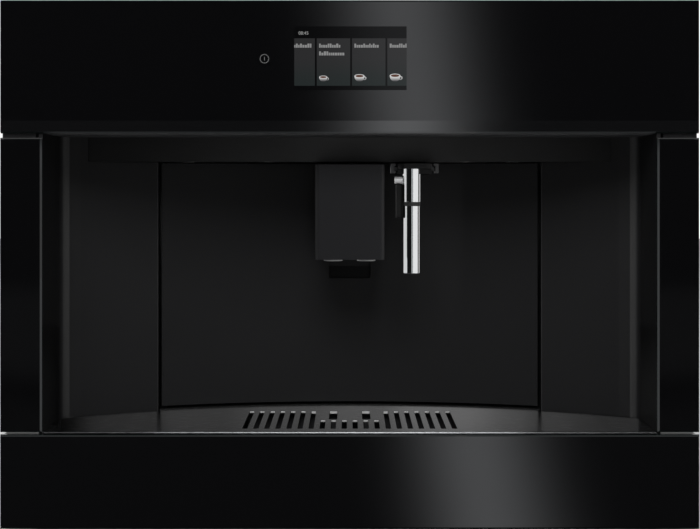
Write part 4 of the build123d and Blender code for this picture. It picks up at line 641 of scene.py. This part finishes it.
def show(name, outlines, level, finish):
    """One layer of the display's picture."""
    new_piece(name, *plates(outlines, layer(level), layer(level + 1)), finish, "machine", "display")


def tile_shade(glow):
    """Tiles turn a little cooler towards their foot."""
    foot = 1 - glow.axes()[Z].step(TILE_Z[0], TILE_Z[0] + TILE_FADE)
    return glow.mix(foot, (0.0235, 0.0235, 0.0245), (0.017, 0.0215, 0.0215))


def clipped(left, right):
    return max(left, DISPLAY_X[0]), min(right, DISPLAY_X[1])


# %% Build the display's picture
show("display_screen", [rectangle(*DISPLAY_X, *DISPLAY_Z)], 0, lit("screen_black", (0.0015, 0.0015, 0.0018)))
tile_lefts = [FIRST_TILE + index * TILE_PITCH for index in range(len(WORD_LENGTHS))]
tiles = [rectangle(*clipped(left, left + TILE_WIDTH), *TILE_Z) for left in tile_lefts]
show("display_tiles", tiles, 1, lit("tile_grey", tile_shade))
chance = random.Random(7)


def letters(left, length, foot):
    """Blocks in place of the letters of one word."""
    blocks, x, height = [], left, LETTER_HEIGHTS[1]
    while x < left + length:
        width = chance.uniform(*LETTER_WIDTHS)
        low, high = clipped(x, x + width)
        if high > low:
            blocks.append(rectangle(low, high, foot, foot + height))
        x += width + LETTER_GAP
        height = LETTER_HEIGHTS[chance.random() < TALL_LETTERS]
    return blocks


words = []
for left, lengths in zip(tile_lefts, WORD_LENGTHS):
    for foot, length in zip(WORD_FEET, lengths):
        words += letters(left + WORD_INSET, length, foot)
show("display_words", words, 2, lit("word_grey", grey(0.24)))
print("tiles", len(tiles), "letters", len(words))


# %% The cups on the tiles
def cup_outlines(left, half):
    """Bowl, handle, rim and coffee of a small cup seen slightly from above."""
    middle = left + WORD_INSET + half
    top = CUP_FOOT + half * 1.15
    bowl = oval(middle, top, half, half * 1.1, 180, 180)
    hold = (middle + half * 0.95, top - half * 0.42)
    handle = oval(*hold, half * 0.42, half * 0.36, -120, 240, 12)
    handle += oval(*hold, half * 0.24, half * 0.2, 120, -240, 12)
    return bowl, handle, oval(middle, top, half, half * 0.36), oval(middle, top, half * 0.8, half * 0.24)


def cup_shade(glow):
    """Cups are dark at their foot."""
    share = glow.axes()[Z].step(CUP_FOOT, CUP_FOOT + CUP_FADE)
    return glow.mix(share, (0.02, 0.02, 0.022), grey(0.5))


bowls, rims, drinks = [], [], []
for left, half in zip(tile_lefts, CUP_HALF):
    if half:
        bowl, handle, rim, drink = cup_outlines(left, half)
        bowls += [bowl, handle]
        rims.append(rim)
        drinks.append(drink)
show("display_cups", bowls, 2, lit("cup_grey", cup_shade))
show("display_rims", rims, 3, lit("rim_white", grey(0.6)))
show("display_drinks", drinks, 4, lit("drink_brown", (0.09, 0.035, 0.02)))
print("cups", len(rims))

# %% [markdown]
# ## Clock and standby key
#
# The time in the status bar is a text object with Blender's own plain font. To the left of the display the
# glass carries a small printed standby mark: a ring with a bar in it. A ring of this kind is two ovals
# joined into one outline, with a cut that closes on itself.

# %% Clock and standby key
CLOCK_AT = (-43.6, 425.5)
CLOCK_HEIGHT = 3.9
KEY_AT = (-72.5, 405.0)
KEY_RADII = (3.95, 3.35)
KEY_BAR = (0.3, 1.5)  # half its width and height
ALMOST_ROUND = 359.9  # degrees

clock_text = bpy.data.curves.new("display_clock", "FONT")
clock_text.body = "08:45"
clock_text.size = CLOCK_HEIGHT * MM
clock_text.materials.append(lit("clock_white", grey(0.3)).material)
clock = bpy.data.objects.new("display_clock", clock_text)
clock.location = Vector((CLOCK_AT[0], layer(1.5), CLOCK_AT[1])) * MM
clock.rotation_euler = (math.pi / 2, 0, 0)
bpy.context.scene.collection.objects.link(clock)
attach(clock, "machine")

outer, inner = KEY_RADII
ring = oval(*KEY_AT, outer, outer, 90, ALMOST_ROUND, 40)
ring += oval(*KEY_AT, inner, inner, 90 + ALMOST_ROUND, -ALMOST_ROUND, 40)
(x, z), (half_width, half_height) = KEY_AT, KEY_BAR
bar = rectangle(x - half_width, x + half_width, z - half_height, z + half_height)
key_print = Finish("key_print", roughness=0.4)
key_print.set("Base Color", key_print.mix(key_print.noise(3), grey(0.095), grey(0.115)))
new_piece("standby_key", *plates([ring, bar], layer(0), layer(1)), key_print, "machine", "front_glass")

# %% [markdown]
# ## Foam behind the gaps
#
# Each side pillar ends a few millimetres below the control panel. A strip of dark foam behind that gap
# keeps light and steam from coming through. It sits between the two frames, so its place follows from their
# limits.

# %% Foam strips
FOAM_DEPTH = (5.0, 21.0)
FOAM_START = limits("side_panels", X)[1] + 1
FOAM_END = 296.6
FOAM_OVERLAP = 4.8  # mm that the foam reaches down behind the edge of a pillar's frame
FOAM_Z = (limits("pillar_frame_right", Z)[1] - FOAM_OVERLAP, limits("control_panel_frame", Z)[0])
foam_finish = moulded("grey_foam", (0.011, 0.011, 0.0115), 0.8, grain=0.1, size=0.8)


def foam_strip(name, side):
    outline = rectangle(*sorted((side * FOAM_START, side * FOAM_END)), *FOAM_Z)
    foam = plates([outline], GLASS_FACE + FOAM_DEPTH[1], GLASS_FACE + FOAM_DEPTH[0])
    new_piece(name, *foam, foam_finish, "machine", "frame_black")


foam_strip("foam_strip_right", 1)
foam_strip("foam_strip_left", -1)
print("the foam runs from", [round(height, 1) for height in FOAM_Z], "mm")

# %% [markdown]
# ## The studio
#
# Black glass shows nothing but what it reflects, so the room is part of the picture. The object stands on a
# plain pale floor in a white room. In front of it hangs a dark half dome, like the black cards that
# photographers use, and soft light boxes are painted on it: a narrow one that draws the glow on the glass,
# wide ones at the sides for the stripes on the chrome tube, and one overhead for the edges. The dome is
# seen by reflections alone. Two soft lamps and the room's own light do the rest.

# %% Camera
PIXEL = 0.8502  # millimetres to one pixel of the picture at the glass face
PICTURE_WIDTH = 700
PICTURE_HEIGHT = 529
HORIZON_ROW = 190.9  # the pixel row at the camera's height
MIDDLE_COLUMN = 349.7  # the pixel column of the object's middle
CAMERA_DISTANCE = 1000.0
CAMERA_HEIGHT = 292.6
SENSOR = 36

camera_data = bpy.data.cameras.new("camera")
camera_data.sensor_width = SENSOR
camera_data.lens = SENSOR * CAMERA_DISTANCE / (PIXEL * PICTURE_WIDTH)
camera_data.shift_x = (PICTURE_WIDTH / 2 - MIDDLE_COLUMN) / PICTURE_WIDTH
camera_data.shift_y = (HORIZON_ROW - PICTURE_HEIGHT / 2) / PICTURE_WIDTH
camera_data.clip_start = 0.01
camera = bpy.data.objects.new("camera", camera_data)
camera.location = Vector((0, GLASS_FACE - CAMERA_DISTANCE, CAMERA_HEIGHT)) * MM
camera.rotation_euler = (math.pi / 2, 0, 0)
bpy.context.scene.collection.objects.link(camera)
bpy.context.scene.camera = camera
print("lens", round(camera_data.lens, 2), "mm, shift", round(camera_data.shift_y, 4))

# %% [markdown]
# The dome's picture is a sum of soft boxes. A place on it is told by three measures: the azimuth left or
# right of straight ahead, the pitch up from straight ahead, over the top and beyond, and the distance
# across in millimetres. `band` is 1 between two limits with a soft edge at each, and a glow is a bell
# across the dome, as a soft box with a bright middle gives.

# %% Dark dome with soft boxes
DOME_RADIUS = 3000.0
DOME_REACH = 120  # degrees from straight ahead to the dome's rear edge
DARK = 0.0065
GLOWS = (
    # name, pitch from and to, middle at the middle pitch, drift per degree and spread in mm, brightness
    ("control panel", 3.5, 14.0, 196, -8.2, 135, 1.45),
    ("light bar", -6.5, 3.5, 200, 0.0, 120, 1.0),
    ("facet", -12.0, -6.5, 191, 0.0, 131, 2.2),
    ("lower panel", -26.0, -14.0, 438, -7.2, 130, 1.5),
    ("under the panel", -100.0, -75.0, 205, 0.0, 150, 1.1),
)
BOXES = (
    # name, azimuth from and to, pitch from and to, blur in degrees, brightness
    ("right side", 70.0, 88.0, -48.0, 12.0, 3.0, 1.0),
    ("left side", -88.0, -70.0, -48.0, 12.0, 3.0, 1.0),
    ("facet surround", -27.0, 27.0, -12.0, -6.5, 1.0, 0.05),
    ("lower surround", -60.0, 60.0, -26.0, -14.0, 1.0, 0.02),
)
OVERHEAD = (74.0, 95.0, 0.58)  # pitch from and to, brightness
UNDERNEATH = (-101.0, -70.0, 0.32)
FRONT_LIGHT = (28.0, 60.0, 4.0)
FRONT_LIGHT_ACROSS = (-700.0, -150.0, 430.0, 640.0)  # mm where it starts, is full, starts to fall and ends


def band(value, low, high, blur):
    return value.step(low - blur, low + blur) - value.step(high - blur, high + blur)


def black_emitter(name):
    """Black all over, so that it only shines."""
    return Finish(name, grey(0.0), 1.0, Specular_IOR_Level=0.0, Emission_Strength=1.0)


def dome_light():
    """Brightness of the dome by direction, as an emission over black."""
    glow = black_emitter("studio_dome")
    across, depth, up = glow.axes()
    azimuth = across.maths("ARCTAN2", depth * -1) * math.degrees(1)
    pitch = up.maths("ARCTAN2", depth * -1) * math.degrees(1)
    total = DARK
    for _, low, high, middle, drift, spread, brightness in GLOWS:
        place = (across - middle - (pitch - (low + high) / 2) * drift) / spread
        bell = (place * place * -0.5).maths("EXPONENT")
        total = bell * band(pitch, low, high, 0.5) * brightness + total
    for _, left, right, low, high, blur, brightness in BOXES:
        total = band(azimuth, left, right, blur) * band(pitch, low, high, blur) * brightness + total
    for low, high, brightness in (OVERHEAD, UNDERNEATH):
        total = band(pitch, low, high, 1.5) * brightness + total
    start, full, fall, end = FRONT_LIGHT_ACROSS
    low, high, brightness = FRONT_LIGHT
    wide = across.step(start, full) - across.step(fall, end)
    total = wide * band(pitch, low, high, 4) * brightness + total
    cool_white = {0: total * 0.95, 1: total * 0.97, 2: total}
    glow.set("Emission Color", glow.node("CombineColor", sockets=cool_white))
    return glow


def studio_piece(name, points, faces, finish, place=(0.0, 0.0, 0.0)):
    """A part of the studio that only reflections see."""
    mesh = bpy.data.meshes.new(name)
    mesh.from_pydata([Vector(point) * MM for point in points], [], faces)
    mesh.materials.append(finish.material)
    piece = bpy.data.objects.new(name, mesh)
    piece.location = Vector(place) * MM
    bpy.context.scene.collection.objects.link(piece)
    for ray in ("camera", "diffuse", "transmission", "volume_scatter", "shadow"):
        setattr(piece, "visible_" + ray, False)
    print("studio", name, "with", len(faces), "faces")


def make_dome(rings=40, spokes=64):
    """A sphere round the line of sight, from straight ahead back to the dome's reach."""
    points, faces = [], []
    for ring in range(rings + 1):
        away = math.radians(DOME_REACH * ring / rings)
        for spoke in range(spokes):
            turn = math.tau * spoke / spokes
            flat = math.sin(away)
            direction = Vector((flat * math.cos(turn), -math.cos(away), flat * math.sin(turn)))
            points.append(direction * DOME_RADIUS)
    for ring in range(rings):
        for spoke in range(spokes):
            first, after = ring * spokes + spoke, ring * spokes + (spoke + 1) % spokes
            faces.append([first, after, after + spokes, first + spokes])
    studio_piece("studio_dome", points, faces, dome_light(), (0, GLASS_FACE, CAMERA_HEIGHT))


make_dome()

# %% [markdown]
# ## Small cards beside the metal
#
# Chrome beside black plastic turns black. Photographers put small white cards just outside the picture so
# that the edge of a tube stands out. Here a card stands on each side of the hot-water tube and shines
# towards it from one face alone, with a narrow one behind the right-hand card for the line at the tube's
# edge. Dim cards along the foot of the door and the wings light the steel tray, brightest right of the
# middle.

# %% Cards beside the metal
CARD_LEFT = {"x": 33.0, "depth": (44.0, 82.0), "height": (212.0, 314.0), "light": 0.7}
CARD_RIGHT = {"x": 110.0, "depth": (-160.0, 52.0), "height": (190.0, 318.0), "light": 0.85}
CARD_BEHIND = {"x": 110.0, "depth": (72.0, 112.0), "height": (190.0, 318.0), "light": 0.6}
DOOR_ARC = (-510.5, 637.5)  # depth of the arc's middle, and a radius just in front of the door's face
WING_ARC = (-424.0, 552.0)
FOOT_CARDS = ((-262.0, -180.0, WING_ARC), (-177.0, 176.5, DOOR_ARC), (179.0, 262.0, WING_ARC))
FOOT_CARD_HEIGHT = (88.5, 170.0)
FOOT_CARD_FADE = (110.0, 170.0)
FOOT_CARD_STEPS = (
    # mm across where the card starts to change and ends, and how much brighter it gets
    (-262, -225, 0.033),
    (-230, -190, 0.006),
    (-185, -165, 0.018),
    (-120, -75, 0.034),
    (-45, 5, 0.03),
    (28, 60, 0.065),
    (105, 160, -0.085),
    (155, 178, -0.035),
    (180, 240, -0.03),
)


def one_sided(name, light):
    """A card that shines from its front face alone and lets light through from behind."""
    card = black_emitter(name)
    card.set("Alpha", 1 - card.node("NewGeometry", output="Backfacing"))
    card.set("Emission Color", light(card) if callable(light) else grey(light))
    return card


def side_card(name, card, towards):
    (near, far), (low, high), x = card["depth"], card["height"], card["x"]
    corners = [(near, low), (far, low), (far, high), (near, high)][::towards]
    points = [(x, GLASS_FACE + depth, z) for depth, z in corners]
    studio_piece(name, points, [[0, 1, 2, 3]], one_sided(name, card["light"]))


def foot_card_light(card):
    """Soft steps across the card, which fades upwards."""
    across, depth, up = card.axes()
    light = 0.0
    for start, end, change in FOOT_CARD_STEPS:
        light = across.step(start, end) * change + light
    light = light * (1 - up.step(*FOOT_CARD_FADE))
    return card.node("CombineColor", sockets={0: light, 1: light, 2: light})


def make_foot_cards(steps=16):
    points, faces = [], []
    for left, right, (middle, radius) in FOOT_CARDS:
        start = len(points)
        for step in range(steps + 1):
            x = left + (right - left) * step / steps
            y = GLASS_FACE + middle + math.sqrt(radius**2 - x * x)
            points += [(x, y, z) for z in FOOT_CARD_HEIGHT]
        for first in range(start, start + 2 * steps, 2):
            faces.append([first, first + 2, first + 3, first + 1])
    studio_piece("cards_at_foot", points, faces, one_sided("cards_at_foot", foot_card_light))


side_card("card_left_of_tube", CARD_LEFT, 1)
side_card("card_right_of_tube", CARD_RIGHT, -1)
side_card("card_behind_tube", CARD_BEHIND, -1)
make_foot_cards()

# %% Floor and room
FLOOR_HALF = 6000.0
ROOM_LIGHT = 0.32


def make_floor():
    mesh = bpy.data.meshes.new("floor")
    corners = [Vector((x, y, 0)) * FLOOR_HALF * MM for x, y in ((-1, -1), (1, -1), (1, 1), (-1, 1))]
    mesh.from_pydata(corners, [], [[0, 1, 2, 3]])
    mesh.materials.append(Finish("pale_floor", grey(0.74), 0.9).material)
    floor = bpy.data.objects.new("floor", mesh)
    bpy.context.scene.collection.objects.link(floor)
    floor.visible_glossy = False
    print("floor", round(2 * FLOOR_HALF * MM), "m wide")


def make_room():
    """White where the room is seen, mirrored or looked at through glass, and softer as a light."""
    world = bpy.data.worlds.new("room")
    bpy.context.scene.world = world
    world.use_nodes = True
    nodes, links = world.node_tree.nodes, world.node_tree.links
    path = nodes.new("ShaderNodeLightPath")
    seen = nodes.new("ShaderNodeMath")
    seen.operation = "MAXIMUM"
    links.new(path.outputs["Is Camera Ray"], seen.inputs[0])
    links.new(path.outputs["Is Glossy Ray"], seen.inputs[1])
    through = nodes.new("ShaderNodeMath")
    through.operation = "MAXIMUM"
    links.new(seen.outputs[0], through.inputs[0])
    links.new(path.outputs["Is Transmission Ray"], through.inputs[1])
    strength = nodes.new("ShaderNodeMapRange")
    links.new(through.outputs[0], strength.inputs["Value"])
    strength.inputs["To Min"].default_value = ROOM_LIGHT
    strength.inputs["To Max"].default_value = 1.0
    sky = nodes["Background"]
    sky.inputs["Color"].default_value = (1, 1, 1, 1)
    links.new(strength.outputs[0], sky.inputs["Strength"])


make_floor()
make_room()

# %% Lamps
LAMP_TARGET = Vector((0, 0, 200)) * MM


def soft_lamp(name, place, size, watts):
    data = bpy.data.lights.new(name, "AREA")
    data.size = size * MM
    data.energy = watts
    lamp = bpy.data.objects.new(name, data)
    lamp.location = Vector(place) * MM
    lamp.rotation_mode = "QUATERNION"
    lamp.rotation_quaternion = (LAMP_TARGET - lamp.location).to_track_quat("-Z", "Y")
    bpy.context.scene.collection.objects.link(lamp)
    lamp.visible_glossy = False


soft_lamp("key_lamp", (-250, -2450, 2300), 1500, 77)
soft_lamp("rear_lamp", (-1500, 2400, 2200), 1800, 35)
print("lamps", len(bpy.data.lights))
bpy.context.scene.view_settings.view_transform = "Standard"
